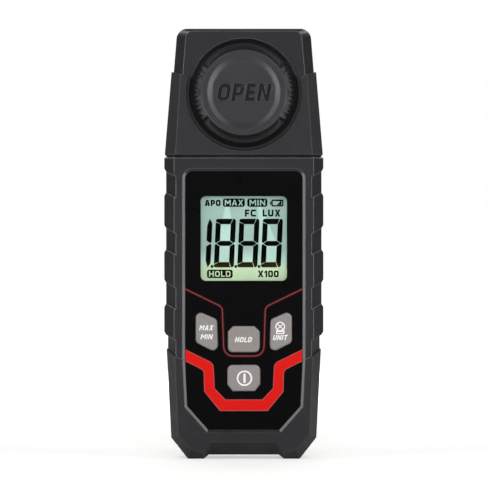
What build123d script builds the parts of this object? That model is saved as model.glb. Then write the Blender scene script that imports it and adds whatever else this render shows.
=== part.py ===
from build123d import *
import os
from math import radians, sin, tan

os.makedirs("parts", exist_ok=True)

# Whole meter. Upright, display towards -Y, ground at Z = 0, swivel axis in the parting plane.
half_depth = 16.0
cap_proud = 4.0
parting_y = cap_proud / 2
facet_depth = 6.0
wall = 2.0
overrun = 1.0
side_depth = half_depth - facet_depth

# Clearances
swivel_gap = 0.4
running_clearance = 0.05
key_clearance = 0.25
panel_clearance = 0.1
door_clearance = 0.25
holder_clearance = 0.1
rest_gap = 0.3

# Display, whose width sets the widths of the meter and whose height is part of its length
lcd_width = 36.0
lcd_height = 36.6
lcd_thickness = 2.2
lcd_ledge = 1.1
window_side_land = 2.0
window_end_land = 2.6
window_rise = 0.35
window_corner = 1.9
window_flange = 1.2
window_flange_thickness = 0.6
gasket_thickness = 0.4
gasket_land = 1.5
light_guide_thickness = 3.0
holder_wall = 0.9
zebra_width = 2.2
lamp_size = 1.6

# Keys
hold_width = 11.75
hold_height = 9.65
hold_mid_z = 44.6
power_width = 12.1
power_height = 9.7
key_row_pitch = 14.4
key_chamfer = 1.95
power_chamfer_rise = 2.5
key_corner = 1.9
side_key_corner = 1.9
key_side_land = 4.0
side_key_top_inner = 9.95
side_key_inner = 9.6
side_key_rise = 10.75
side_key_height = 11.95
side_key_top_slant = 3.4
side_key_low_slant = 4.15
key_proud = 0.8
key_crown = 0.35
key_flange = 0.9
key_flange_thickness = 1.2
key_flange_gap = 0.2
key_travel = 0.7
key_post_radius = 2.4
switch_size = 6.0
switch_height = 2.6
plunger_radius = 1.7
plunger_proud = 1.2
plunger_depth = 1.2

# Heights that stack up: keys, the strip over them, the display, and the top of the body
name_strip = 7.95
display_top_land = 12.6
power_mid_z = hold_mid_z - key_row_pitch
side_key_high_z = hold_mid_z + side_key_rise
side_key_top_inner_z = side_key_high_z - side_key_top_slant
side_key_low_z = side_key_high_z - side_key_height
side_key_low_inner_z = side_key_low_z - side_key_low_slant
lcd_low_z = side_key_high_z + name_strip
lcd_mid_z = lcd_low_z + lcd_height / 2
lcd_high_z = lcd_low_z + lcd_height
seam_z = lcd_high_z + display_top_land

# Body above the bumper
body_side_room = 9.9
body_facet = 3.7
low_valley_step = 0.7
low_valley_facet = 3.0
grip_rise = 0.7
first_grip_length = 5.45
grip_length = 13.2
grip_shrink = 0.85
grip_valley = 7.87
grip_count = 3
grip_slant = 2.05
grip_end_run = 1.2
seam_chamfer = 0.5
cavity_facet = 2.0
cavity_side_inset = 0.6
body_top_wall = 3.0
board_half_width = lcd_width / 2 + holder_clearance + holder_wall
body_half_width = board_half_width + body_side_room
low_valley_half_width = body_half_width - low_valley_step

# Bumper, a soft boot over the lower end, and the slimmer core of the body inside it
bumper_top_z = 40.7
bumper_step = 0.2
bumper_taper = 1.7
bumper_corner_z = 7.9
foot_corner_run = 6.2
foot_inner = 14.9
arch_half = 13.0
arch_height = 1.55
bumper_facet = 3.0
bumper_low_facet = 2.6
bumper_face_rise = 1.3
foot_face_step = 1.2
foot_face_high = 3.9
foot_face_inner = 15.1
foot_face_low = 3.0
arch_face_half = 12.4
arch_face_height = 6.5
bumper_thickness = 2.0
bumper_lip_drop = 2.4
bumper_lip_end_drop = 4.0
core_bottom_z = 3.4
core_corner_rise = 1.4
core_face_bottom_z = 8.0
core_corner_step = 0.4
core_face_step = 1.0
core_facet = 2.2
core_cavity_facet = 1.3
core_cavity_inset = 0.8
bumper_half_width = body_half_width - bumper_step
bumper_low_half_width = bumper_half_width - bumper_taper
bumper_face_low_z = bumper_corner_z + bumper_face_rise
foot_outer = bumper_low_half_width - foot_corner_run
foot_face_outer = foot_outer - foot_face_step
core_corner_half = foot_outer - core_corner_step
core_face_corner_half = core_corner_half - core_face_step

# Overlay panel
panel_side_room = 7.1
panel_top_land = 5.55
panel_corner = 2.8
panel_taper_z = 37.0
panel_low_step = 0.8
panel_low_z = 19.8
panel_bottom_half = 13.2
panel_bottom_z = 11.0
panel_recess = 0.6
panel_thickness = 1.0
bevel_width = 1.0
shell_front_wall = 1.8
panel_half = body_half_width - panel_side_room
panel_low_half = panel_half - panel_low_step
panel_top_z = seam_z - panel_top_land
side_key_outer = panel_half - key_side_land
window_width = lcd_width - window_side_land * 2
window_height = lcd_height - window_end_land * 2
window_mid_z = lcd_mid_z + window_rise

# Circuit board, with the places of its parts measured down from its top edge
board_bottom_z = 13.5
board_top_room = 10.5
board_thickness = 1.6
board_corner = 1.0
board_boss_radius = 2.2
board_screw_radius = 0.9
board_screw_head = 1.75
board_screw_head_height = 1.1
board_screw_length = 5.0
board_screw_inset = 2.0
board_screw_drop = 3.9
board_low_screw_inset = 3.8
board_low_screw_rise = 4.1
chip_size = 10.0
chip_thickness = 1.6
chip_x = 4.0
chip_drop = 22.0
chip_lead_count = 10
small_chip_size = 5.0
small_chip_inset = 9.0
small_chip_drop = 14.0
small_chip_lead_count = 4
lead_width = 0.4
lead_length = 1.0
lead_thickness = 0.5
crystal_length = 8.0
crystal_radius = 1.5
crystal_inset = 11.0
crystal_drop = 26.0
capacitor_radius = 2.0
capacitor_height = 2.4
capacitor_pitch = 5.6
capacitor_count = 3
capacitor_inset = 11.0
capacitor_drop = 32.0
socket_width = 6.0
socket_height = 5.0
socket_depth = 3.4
socket_drop = 6.0
board_top_z = seam_z - board_top_room
socket_top_z = board_top_z - socket_drop

# Battery bay for three AAA cells, its contacts and its door
cell_radius = 5.25
cell_length = 44.5
cell_nub_radius = 1.9
cell_nub = 0.9
cell_edge = 0.4
cell_gap = 0.6
bay_bottom_z = 16.4
bay_side_room = 0.55
bay_wall = 1.5
contact_thickness = 0.4
contact_width = 7.0
contact_leg_width = 3.0
spring_height = 4.2
spring_radius = 3.0
spring_wire_radius = 0.3
spring_turns = 3
door_side_ledge = 1.7
door_low_ledge = 5.9
door_high_ledge = 7.7
door_thickness = 1.8
door_corner = 2.0
door_edge = 0.3
door_screw_inset = 3.2
door_grip_drop = 12.6
door_grip_count = 5
door_grip_pitch = 2.4
door_grip_half = 7.0
door_grip_radius = 0.5
door_grip_depth = 0.4
door_boss_radius = 3.2
door_screw_radius = 1.25
door_screw_head = 2.4
door_screw_head_height = 1.1
door_screw_length = 5.0
insert_radius = 2.0
insert_length = 5.0
cell_pitch = cell_radius * 2 + cell_gap
bay_half_width = cell_pitch + cell_radius + bay_side_room
bay_top_z = bay_bottom_z + contact_thickness * 2 + spring_height + cell_length
door_half_width = bay_half_width + door_side_ledge
door_bottom_z = bay_bottom_z - door_low_ledge
door_top_z = bay_top_z + door_high_ledge

# Screws that hold the shells together, heads from the back
case_screw_radius = 1.1
case_screw_head = 2.0
case_screw_head_height = 1.4
case_screw_reach = 5.0
case_screw_seat = 4.0
case_boss_radius = 2.7
recess_boss_radius = 3.4
screw_recess_radius = 2.2
drive_slot_width = 0.5
drive_slot_depth = 0.6
body_screw_drop = 8.5
body_low_screw_z = 22.0
body_screw_x = board_half_width + rest_gap + case_boss_radius

# Head: hard shells with a soft collar over their lower half
head_foot_step = 0.35
head_taper = 3.8
head_corner = 4.0
head_facet = 3.4
head_top_facet = 1.1
head_face_set_back = 0.3
head_face_corner = 2.6
head_wall = 1.7
head_floor = 2.5
head_cavity_facet = 2.7
head_cavity_inset = 0.5
head_screw_inset = 5.75
head_screw_drop = 6.5
head_low_screw_inset = 7.15
head_low_screw_rise = 5.9
collar_foot_step = 0.55
collar_taper = 2.55
collar_rise = 7.95
collar_facet = 3.5
collar_foot_facet = 4.0
collar_thickness = 1.6
collar_face_thickness = 1.0
collar_bed_narrowing = 0.55
shoulder_run = 3.8
shoulder_drop = 1.0
shoulder_inner_run = 2.1
shoulder_inner_drop = 2.6
head_foot_half_width = body_half_width - head_foot_step
head_top_half_width = head_foot_half_width - head_taper
collar_foot_half_width = body_half_width + collar_foot_step
collar_top_half_width = collar_foot_half_width - collar_taper
shoulder_half = collar_top_half_width - shoulder_run
shoulder_inner_half = shoulder_half - shoulder_inner_run

# Sensor seat and what lies in it, sized from the width of the head
recess_side_room = 4.55
sensor_seat_share = 0.59375
recess_wall = 1.5
ring_width = 1.1
ring_gap = 0.3
ring_low_land = 2.15
ring_top_land = 2.75
light_hole_radius = 7.0
bezel_floor_width = 4.2
bezel_height = 2.2
bezel_edge = 0.35
bezel_wall = 2.4
dome_ledge = 1.2
dome_flange_thickness = 1.2
dome_rise = 5.2
dome_wall = 1.4
filter_radius = 6.6
filter_thickness = 1.2
sensor_holder_half = 9.0
sensor_holder_depth = 3.2
diode_size = 8.0
diode_thickness = 2.0
sensor_board_half = 14.0
sensor_board_thickness = 1.6
sensor_screw_length = 4.0
recess_radius = head_top_half_width - recess_side_room
ring_radius = recess_radius + ring_width
bezel_radius = recess_radius - bezel_floor_width
dome_flange_radius = bezel_radius - bezel_wall
dome_radius = dome_flange_radius - dome_ledge
sensor_board_screw_x = sensor_board_half - board_boss_radius
sensor_z = seam_z + ring_low_land + ring_radius
collar_top_z = sensor_z + collar_rise
total_height = sensor_z + ring_radius + ring_top_land

# Cap over the sensor
cap_wall = 1.5
cap_skirt_end = 0.3
cap_side_gap = 1.7
cap_disc_thickness = 1.8
cap_disc_drop = 4.6
cap_boss_edge = 0.4
cap_rim_width = 2.5
cap_bevel_width = 2.2
cap_dish_depth = 1.0
cap_face_wall = 1.2
cap_ear_step = 0.2
cap_ear_half_angle = 34.0
cap_ear_drop = 0.8
cap_tooth_count = 12
cap_groove_depth = 0.8
cap_groove_width = 0.75
cap_disc_radius = recess_radius - cap_side_gap
cap_boss_radius = bezel_radius + running_clearance
cap_bevel_outer = cap_boss_radius - cap_rim_width
cap_bevel_inner = cap_bevel_outer - cap_bevel_width
cap_ear_radius = cap_disc_radius - cap_ear_step

# Swivel between head and body, with the sensor cable through its middle
neck_radius = 7.0
neck_bore_radius = 4.2
neck_flange_radius = 9.4
neck_flange_thickness = 1.6
washer_thickness = 0.7
washer_clearance = 0.1
stop_radius = 11.4
stop_width = 3.0
swivel_back_angle = 90.0
swivel_round_angle = 180.0
cable_radius = 0.5
cable_split_drop = 2.5
cable_exit_rise = 14.5
cable_turn_drop = 8.0
cable_lead = 4.0
cable_split_z = seam_z - cable_split_drop
cable_exit_z = seam_z + cable_exit_rise
cable_turn_z = seam_z - cable_turn_drop

# Depths in front of the parting plane
cap_front = half_depth + cap_proud
panel_front = half_depth - panel_recess
panel_back = panel_front - panel_thickness
front_wall_inner = panel_back - shell_front_wall
lcd_front = front_wall_inner - gasket_thickness
lcd_back = lcd_front - lcd_thickness
board_front = lcd_back - light_guide_thickness
board_back = board_front - board_thickness
key_front = panel_front + key_proud
key_flange_front = front_wall_inner - key_flange_gap
key_back = key_flange_front - key_flange_thickness
switch_front = board_front + switch_height
plunger_front = switch_front + plunger_proud
head_front = half_depth - head_face_set_back
recess_floor = half_depth * sensor_seat_share
recess_depth = head_front - recess_floor
recess_back = recess_floor - recess_wall
sensor_board_front = recess_back - sensor_holder_depth
sensor_board_back = sensor_board_front - sensor_board_thickness
cable_bend = sensor_board_back - cable_radius
cap_disc_front = cap_front - cap_disc_drop
cap_disc_back = cap_disc_front - cap_disc_thickness
door_inner = door_thickness - half_depth
door_screw_seat = door_screw_head_height - half_depth
insert_end = door_inner + insert_length
bay_ceiling = door_inner + (rest_gap + cell_radius) * 2
cell_depth = door_inner + rest_gap + cell_radius

# Heights where body, swivel and head meet
body_top_z = seam_z - swivel_gap / 2
head_base_z = seam_z + swivel_gap / 2
body_ceiling_z = body_top_z - body_top_wall
washer_low_z = body_ceiling_z - washer_thickness
neck_shoulder_z = washer_low_z - washer_clearance
neck_low_z = neck_shoulder_z - neck_flange_thickness
head_floor_z = head_base_z + head_floor
neck_high_z = head_floor_z + neck_flange_thickness
lip_end_z = bumper_top_z - bumper_lip_end_drop

# Half widths of the core in the bumper and of the head's bed for the collar
core_half_width = bumper_half_width - bumper_thickness
core_low_half_width = bumper_low_half_width - bumper_thickness
bed_foot_half_width = collar_foot_half_width - collar_thickness
bed_top_half_width = collar_top_half_width - collar_thickness

# Places in the front view
chip_place = (chip_x, board_top_z - chip_drop)
small_chip_place = (small_chip_inset - board_half_width, board_top_z - small_chip_drop)
crystal_place = (crystal_inset - board_half_width, board_top_z - crystal_drop)
capacitor_place = (board_half_width - capacitor_inset, board_top_z - capacitor_drop)
side_switch_x = (side_key_outer + side_key_inner) / 2
side_switch_z = (side_key_high_z + side_key_low_inner_z) / 2
board_screw_high = (board_half_width - board_screw_inset, lcd_low_z - board_screw_drop)
board_screw_low = (board_half_width - board_low_screw_inset, board_bottom_z + board_low_screw_rise)
head_high_screws = (head_top_half_width - head_screw_inset, total_height - head_screw_drop)
head_low_screws = (head_foot_half_width - head_low_screw_inset, seam_z + head_low_screw_rise)

# The lug of the neck sweeps both turns of the swivel, and a rib fills what is left at the back
full_turn = 360.0
stop_half_angle = (full_turn - swivel_back_angle - swivel_round_angle) / 2
lug_angle = full_turn / 4 + stop_half_angle + swivel_back_angle


def facing(depth):
    """Plane parallel to the display, at a depth in front of the parting plane."""
    return Plane.XZ.offset(depth - parting_y)


def level(height):
    """Plane at a height above the ground, with its origin on the swivel axis."""
    return Plane(origin=(0, parting_y, height))


def both_sides(points):
    """Close an outline from its right half and the mirror image of that half."""
    Polygon(*points, *[(-x, y) for x, y in reversed(points)], align=None)


def faceted(face_points, side_points, front, side):
    """Solid with a wide middle outline that slopes in to a narrower outline at the front and the back."""
    for near, far in ((side, front), (-side, -front)):
        with BuildSketch(facing(near)) as wide:
            both_sides(side_points)
        with BuildSketch(facing(far)) as narrow:
            both_sides(face_points)
        loft([wide.sketch, narrow.sketch], ruled=True)
    with BuildSketch(facing(side)) as middle:
        both_sides(side_points)
    extrude(middle.sketch, amount=-2 * side)


def tapered(foot_half, top_half, low, high, facet, top_facet, corner, face_corner, front, side):
    """Head-shaped solid: upright facets at the sides, a thin one at the top and rounded upper corners."""
    side_outline = [(foot_half, low), (top_half, high)]
    face_outline = [(foot_half - facet, low), (top_half - facet, high - top_facet)]
    for near, far in ((side, front), (-side, -front)):
        with BuildSketch(facing(near)) as wide:
            both_sides(side_outline)
            fillet(wide.vertices().group_by(Axis.Y)[-1], radius=corner)
        with BuildSketch(facing(far)) as narrow:
            both_sides(face_outline)
            fillet(narrow.vertices().group_by(Axis.Y)[-1], radius=face_corner)
        loft([wide.sketch, narrow.sketch], ruled=True)
    with BuildSketch(facing(side)) as middle:
        both_sides(side_outline)
        fillet(middle.vertices().group_by(Axis.Y)[-1], radius=corner)
    extrude(middle.sketch, amount=-2 * side)


def eight_sided(half_width, facet, front, back, side, low, high, mode=Mode.ADD):
    """Upright prism with flat front and back, sloping facets and vertical sides."""
    with BuildSketch(level(low)) as section:
        both_sides([
            (half_width - facet, -front), (half_width, -side), (half_width, side), (half_width - facet, back),
        ])
    extrude(section.sketch, amount=high - low, mode=mode)


def prism(outline, back, front, mode=Mode.ADD):
    """Solid between two depths with an outline of the front view."""
    with BuildSketch(facing(back)) as section:
        add(outline.sketch)
    extrude(section.sketch, amount=front - back, mode=mode)


def grown(outline, amount):
    """Outline of the front view moved outwards, or inwards by an amount below zero."""
    with BuildSketch() as moved:
        add(outline.sketch)
        offset(amount=amount, kind=Kind.INTERSECTION)
    return moved


def block(place, width, height, back, front, mode=Mode.ADD):
    """Rectangular solid between two depths, centred on a place in the front view."""
    with BuildSketch(facing(back)) as section:
        with Locations(place):
            Rectangle(width, height)
    extrude(section.sketch, amount=front - back, mode=mode)


def post(depth, points, radius, length, mode=Mode.ADD):
    """Round posts or holes at mirrored points, running towards the back from a depth."""
    with BuildSketch(facing(depth)) as rounds:
        with Locations(*{(sign * x, y) for x, y in points for sign in (1, -1)}):
            Circle(radius)
    extrude(rounds.sketch, amount=-length, mode=mode)


def disc(depth, radius, length, mode=Mode.ADD):
    """Round solid on the axis of the sensor, running towards the back from a depth."""
    post(depth, [(0, sensor_z)], radius, length, mode)


def spindle(low, high, radius, mode=Mode.ADD):
    """Round solid on the swivel axis between two heights."""
    with BuildSketch(level(low)) as section:
        Circle(radius)
    extrude(section.sketch, amount=high - low, mode=mode)


def screws(points, seat, length, radius, head_radius, head_height):
    """Screws at mirrored points with their heads towards the back, each with a cross slot."""
    post(seat + length, points, radius, length)
    post(seat, points, head_radius, head_height)
    with BuildSketch(facing(seat - head_height)) as slots:
        with Locations(*{(sign * x, y) for x, y in points for sign in (1, -1)}):
            Rectangle(head_radius * 2 - drive_slot_width * 2, drive_slot_width)
            Rectangle(drive_slot_width, head_radius * 2 - drive_slot_width * 2)
    extrude(slots.sketch, amount=drive_slot_depth, mode=Mode.SUBTRACT)


def chip(place, size, leads):
    """Flat chip on the back of the board with a row of leads along two of its sides."""
    x, z = place
    block(place, size, size, board_back - chip_thickness, board_back)
    pitch = size / leads
    for index in range(leads):
        lead_z = z - size / 2 + pitch * (index + 1 / 2)
        block((x, lead_z), size + lead_length * 2, lead_width, board_back - lead_thickness, board_back)


def dome(radius, rise, mode=Mode.ADD):
    """Part of a ball on the axis of the sensor, standing on the front of the diffuser's flange."""
    foot_y = parting_y - recess_floor - dome_flange_thickness
    ball_radius = (radius ** 2 + rise ** 2) / (rise * 2)
    with BuildSketch(Plane.YZ) as half_section:
        with BuildLine() as profile:
            curve = RadiusArc((foot_y, sensor_z + radius), (foot_y - rise, sensor_z), -ball_radius)
            Line(curve @ 1, (foot_y, sensor_z))
            Line((foot_y, sensor_z), curve @ 0)
        make_face(profile.edges())
    revolve(half_section.sketch, axis=Axis((0, 0, sensor_z), (0, 1, 0)), mode=mode)


def keep(piece, name):
    """Label a finished piece and write it."""
    piece.part.label = name
    export_step(piece.part, f"parts/{name}.step")


# Outlines drawn in the front view, shared by the pieces that fit each other

with BuildSketch() as panel_outline:
    both_sides([
        (panel_half, panel_top_z), (panel_half, panel_taper_z), (panel_low_half, panel_low_z),
        (panel_bottom_half, panel_bottom_z),
    ])
    fillet(panel_outline.vertices().group_by(Axis.Y)[-1], radius=panel_corner)

with BuildSketch() as window_outline:
    with Locations((0, window_mid_z)):
        RectangleRounded(window_width, window_height, window_corner)

with BuildSketch() as lcd_outline:
    with Locations((0, lcd_mid_z)):
        Rectangle(lcd_width, lcd_height)

with BuildSketch() as door_outline:
    with Locations((0, (door_top_z + door_bottom_z) / 2)):
        RectangleRounded(door_half_width * 2, door_top_z - door_bottom_z, door_corner)

with BuildSketch() as hold_outline:
    with Locations((0, hold_mid_z)):
        Rectangle(hold_width, hold_height)
    chamfer(hold_outline.vertices().group_by(Axis.Y)[-1], length=key_chamfer)
    fillet(hold_outline.vertices().group_by(Axis.Y)[0], radius=key_corner)

with BuildSketch() as power_outline:
    power_low_z = power_mid_z - power_height / 2
    both_sides([
        (power_width / 2, power_low_z + power_height), (power_width / 2, power_low_z + power_chamfer_rise),
        (power_width / 2 - key_chamfer, power_low_z),
    ])
    fillet(power_outline.vertices().group_by(Axis.Y)[-1], radius=key_corner)

with BuildSketch() as unit_outline:
    Polygon(
        (side_key_outer, side_key_high_z), (side_key_top_inner, side_key_top_inner_z),
        (side_key_inner, side_key_low_inner_z), (side_key_outer, side_key_low_z), align=None,
    )
    fillet(unit_outline.vertices(), radius=side_key_corner)

with BuildSketch() as max_min_outline:
    Polygon(
        (-side_key_outer, side_key_high_z), (-side_key_top_inner, side_key_top_inner_z),
        (-side_key_inner, side_key_low_inner_z), (-side_key_outer, side_key_low_z), align=None,
    )
    fillet(max_min_outline.vertices(), radius=side_key_corner)

# Each key with its outline and the place of its switch
keys = {
    "hold": (hold_outline, (0, hold_mid_z)),
    "power": (power_outline, (0, power_mid_z)),
    "unit": (unit_outline, (side_switch_x, side_switch_z)),
    "max_min": (max_min_outline, (-side_switch_x, side_switch_z)),
}

# Each cell with its place across the bay and whether its button is at the top
cells = {"cell_left": (-cell_pitch, True), "cell_middle": (0, False), "cell_right": (cell_pitch, True)}

body_screw_places = [(body_screw_x, seam_z - body_screw_drop), (body_screw_x, body_low_screw_z)]
head_screw_places = [head_high_screws, head_low_screws]
board_screw_places = [board_screw_high, board_screw_low]
door_screw_places = [(0, door_top_z - door_screw_inset), (0, door_bottom_z + door_screw_inset)]
sensor_screw_places = [(sensor_board_screw_x, sensor_z)]

# Spaces that are cut out of more than one piece

with BuildPart() as panel_pocket:
    prism(panel_outline, panel_back, panel_front)
    with BuildSketch(facing(panel_front)) as bevel_foot:
        add(panel_outline.sketch)
    with BuildSketch(facing(half_depth)) as bevel_rim:
        add(grown(panel_outline, bevel_width).sketch)
    loft([bevel_foot.sketch, bevel_rim.sketch], ruled=True)
    extrude(bevel_rim.sketch, amount=overrun)

with BuildPart() as door_pocket:
    prism(grown(door_outline, door_clearance), -half_depth - overrun, door_inner)

with BuildPart() as bay_space:
    block((0, (bay_top_z + bay_bottom_z) / 2), bay_half_width * 2, bay_top_z - bay_bottom_z,
          door_inner - overrun, bay_ceiling)

# Bumper before its openings: its outer form, cut along the lip, without the core of the body

with BuildPart() as body_core:
    faceted(
        [
            (core_half_width - core_facet, bumper_top_z),
            (core_low_half_width - core_facet, bumper_face_low_z + core_corner_rise),
            (core_face_corner_half, core_face_bottom_z),
        ],
        [
            (core_half_width, bumper_top_z), (core_low_half_width, bumper_corner_z + core_corner_rise),
            (core_corner_half, core_bottom_z),
        ],
        panel_back, side_depth,
    )

with BuildPart() as boot:
    faceted(
        [
            (bumper_half_width - bumper_facet, bumper_top_z),
            (bumper_low_half_width - bumper_low_facet, bumper_face_low_z), (foot_face_outer, foot_face_high),
            (foot_face_inner, foot_face_low), (arch_face_half, arch_face_height),
        ],
        [
            (bumper_half_width, bumper_top_z), (bumper_low_half_width, bumper_corner_z), (foot_outer, 0),
            (foot_inner, 0), (arch_half, arch_height),
        ],
        half_depth, side_depth,
    )
    with BuildSketch(facing(half_depth + overrun)) as above_lip:
        both_sides([
            (bumper_half_width + overrun, bumper_top_z + overrun),
            (bumper_half_width + overrun, bumper_top_z),
            (bumper_half_width, bumper_top_z),
            (bumper_half_width - bumper_facet, bumper_top_z - bumper_lip_drop),
            (panel_half, lip_end_z),
        ])
    extrude(above_lip.sketch, amount=-2 * (half_depth + overrun), mode=Mode.SUBTRACT)
    add(body_core.part, mode=Mode.SUBTRACT)

with BuildPart() as bumper:
    add(boot.part)
    add(panel_pocket.part, mode=Mode.SUBTRACT)
    add(door_pocket.part, mode=Mode.SUBTRACT)
keep(bumper, "bumper")

# Hard body while it is still solid: grip blocks moulded on its sides, and the core below

with BuildPart() as grips:
    grip_outer = body_half_width + grip_rise
    grip_top = body_top_z
    for index in range(grip_count + 1):
        first = index == 0
        grip_foot = grip_top - (first_grip_length if first else grip_length - grip_shrink * (index - 1))
        with BuildSketch(facing(half_depth)) as blocks:
            for side in (1, -1):
                crease = side * (body_half_width - body_facet)
                Polygon(
                    (crease, grip_top if first else grip_top - grip_slant),
                    (side * body_half_width, grip_top),
                    (side * grip_outer, grip_top if first else grip_top - grip_end_run),
                    (side * grip_outer, grip_foot + grip_end_run),
                    (side * body_half_width, grip_foot),
                    (crease, grip_foot - grip_slant), align=None,
                )
        extrude(blocks.sketch, amount=-2 * half_depth)
        grip_top = grip_foot - grip_valley
    eight_sided(grip_outer, body_facet, half_depth, half_depth, side_depth, lip_end_z, body_top_z,
                Mode.INTERSECT)

with BuildPart() as body_form:
    eight_sided(body_half_width, body_facet, half_depth, half_depth, side_depth, grip_foot, body_top_z)
    eight_sided(low_valley_half_width, low_valley_facet, half_depth, half_depth, side_depth, lip_end_z,
                grip_foot)
    add(grips.part)
    chamfer(body_form.faces().sort_by(Axis.Z)[-1].edges(), length=seam_chamfer)
    add(boot.part, mode=Mode.SUBTRACT)
    add(body_core.part)

with BuildPart() as body_cavity:
    eight_sided(body_half_width - wall, cavity_facet, front_wall_inner, half_depth - wall,
                side_depth - cavity_side_inset, bumper_top_z, body_ceiling_z)
    faceted(
        [
            (core_half_width - wall - core_cavity_facet, bumper_top_z),
            (core_low_half_width - wall - core_cavity_facet, bumper_face_low_z + core_corner_rise * 2),
            (core_face_corner_half - core_cavity_inset, core_face_bottom_z + core_cavity_inset),
        ],
        [
            (core_half_width - wall, bumper_top_z),
            (core_low_half_width - wall, bumper_corner_z + core_corner_rise * 2),
            (core_corner_half - core_cavity_inset, core_bottom_z + wall),
        ],
        front_wall_inner, side_depth,
    )

# Housing of the body: each shell keeps its bosses and walls, and the cavity is cut round them

with BuildPart() as front_room:
    add(body_cavity.part)
    post(front_wall_inner, body_screw_places, case_boss_radius, front_wall_inner, Mode.SUBTRACT)
    post(front_wall_inner, board_screw_places, board_boss_radius, front_wall_inner - board_front,
         Mode.SUBTRACT)

with BuildPart() as front_shell:
    add(body_form.part)
    add(front_room.part, mode=Mode.SUBTRACT)
    split(bisect_by=facing(0), keep=Keep.TOP)
    add(panel_pocket.part, mode=Mode.SUBTRACT)
    spindle(body_ceiling_z - overrun, body_top_z + overrun, neck_radius + running_clearance, Mode.SUBTRACT)
    prism(window_outline, front_wall_inner, panel_back, Mode.SUBTRACT)
    prism(grown(window_outline, window_flange), panel_back - window_flange_thickness, panel_back,
          Mode.SUBTRACT)
    for outline, place in keys.values():
        prism(grown(outline, key_clearance), front_wall_inner, panel_back, Mode.SUBTRACT)
    post(case_screw_reach, body_screw_places, case_screw_radius, case_screw_reach, Mode.SUBTRACT)
    post(board_back + board_screw_length, board_screw_places, board_screw_radius, board_screw_length,
         Mode.SUBTRACT)
keep(front_shell, "front_shell")

with BuildPart() as back_room:
    add(body_cavity.part)
    prism(grown(door_outline, door_clearance + bay_wall), door_inner, door_inner + bay_wall, Mode.SUBTRACT)
    block((0, (bay_top_z + bay_bottom_z) / 2), (bay_half_width + bay_wall) * 2,
          bay_top_z - bay_bottom_z + bay_wall * 2, -half_depth, bay_ceiling + bay_wall, Mode.SUBTRACT)
    post(0, body_screw_places, recess_boss_radius, half_depth, Mode.SUBTRACT)
    post(insert_end + bay_wall, door_screw_places, door_boss_radius, half_depth, Mode.SUBTRACT)
    with BuildSketch(level(neck_low_z - rest_gap)) as stop_rib:
        apex_y = stop_width / 2 / sin(radians(stop_half_angle))
        rib_half_width = (half_depth - apex_y) * tan(radians(stop_half_angle))
        Polygon((0, apex_y), (rib_half_width, half_depth), (-rib_half_width, half_depth), align=None)
        Circle(neck_flange_radius + rest_gap, mode=Mode.SUBTRACT)
    extrude(stop_rib.sketch, amount=body_ceiling_z - neck_low_z + rest_gap, mode=Mode.SUBTRACT)

with BuildPart() as back_shell:
    add(body_form.part)
    add(back_room.part, mode=Mode.SUBTRACT)
    split(bisect_by=facing(0), keep=Keep.BOTTOM)
    add(door_pocket.part, mode=Mode.SUBTRACT)
    add(bay_space.part, mode=Mode.SUBTRACT)
    spindle(body_ceiling_z - overrun, body_top_z + overrun, neck_radius + running_clearance, Mode.SUBTRACT)
    post(0, body_screw_places, case_screw_radius + running_clearance, case_screw_seat, Mode.SUBTRACT)
    post(-case_screw_seat, body_screw_places, screw_recess_radius, half_depth, Mode.SUBTRACT)
    post(insert_end, door_screw_places, insert_radius, insert_length, Mode.SUBTRACT)
    for side, low_z in ((-1, bay_top_z - contact_thickness), (1, bay_bottom_z)):
        block((side * cell_pitch, low_z + contact_thickness / 2), contact_leg_width, contact_thickness,
              bay_ceiling, bay_ceiling + bay_wall, Mode.SUBTRACT)
keep(back_shell, "back_shell")

with BuildPart() as case_screws:
    screws(body_screw_places, -case_screw_seat, case_screw_seat + case_screw_reach, case_screw_radius,
           case_screw_head, case_screw_head_height)
keep(case_screws, "case_screws")

# Panel, window and display

with BuildPart() as overlay_panel:
    prism(grown(panel_outline, -panel_clearance), panel_back, panel_front)
    prism(window_outline, panel_back, panel_front, Mode.SUBTRACT)
    for outline, place in keys.values():
        prism(grown(outline, key_clearance), panel_back, panel_front, Mode.SUBTRACT)
keep(overlay_panel, "overlay_panel")

with BuildPart() as display_window:
    prism(window_outline, panel_back, panel_front)
    prism(grown(window_outline, window_flange - panel_clearance), panel_back - window_flange_thickness,
          panel_back)
keep(display_window, "display_window")

with BuildPart() as lcd_gasket:
    prism(lcd_outline, lcd_front, front_wall_inner)
    prism(grown(lcd_outline, -gasket_land), lcd_front, front_wall_inner, Mode.SUBTRACT)
keep(lcd_gasket, "lcd_gasket")

with BuildPart() as lcd_glass:
    prism(lcd_outline, lcd_back, lcd_front)
    block((0, lcd_low_z + zebra_width / 2), lcd_width, zebra_width, lcd_back, lcd_back + lcd_ledge,
          Mode.SUBTRACT)
keep(lcd_glass, "lcd_glass")

with BuildPart() as lcd_holder:
    prism(grown(lcd_outline, holder_clearance + holder_wall), board_front, lcd_front - rest_gap)
    prism(grown(lcd_outline, holder_clearance), board_front, lcd_front, Mode.SUBTRACT)
keep(lcd_holder, "lcd_holder")

with BuildPart() as zebra_strip:
    block((0, lcd_low_z + zebra_width / 2), lcd_width - lamp_size, zebra_width - holder_clearance,
          board_front, lcd_back + lcd_ledge)
keep(zebra_strip, "zebra_strip")

with BuildPart() as light_guide:
    guide_low_z = lcd_low_z + zebra_width + holder_clearance
    guide_high_z = lcd_high_z - lamp_size - holder_clearance
    block((0, (guide_low_z + guide_high_z) / 2), lcd_width, guide_high_z - guide_low_z, board_front, lcd_back)
keep(light_guide, "light_guide")

with BuildPart() as backlight_lamps:
    for side in (1, -1):
        block((side * lcd_width / 4, lcd_high_z - lamp_size / 2), lamp_size * 2, lamp_size, board_front,
              board_front + lamp_size)
keep(backlight_lamps, "backlight_lamps")

# Main board and what is soldered to it

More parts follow.
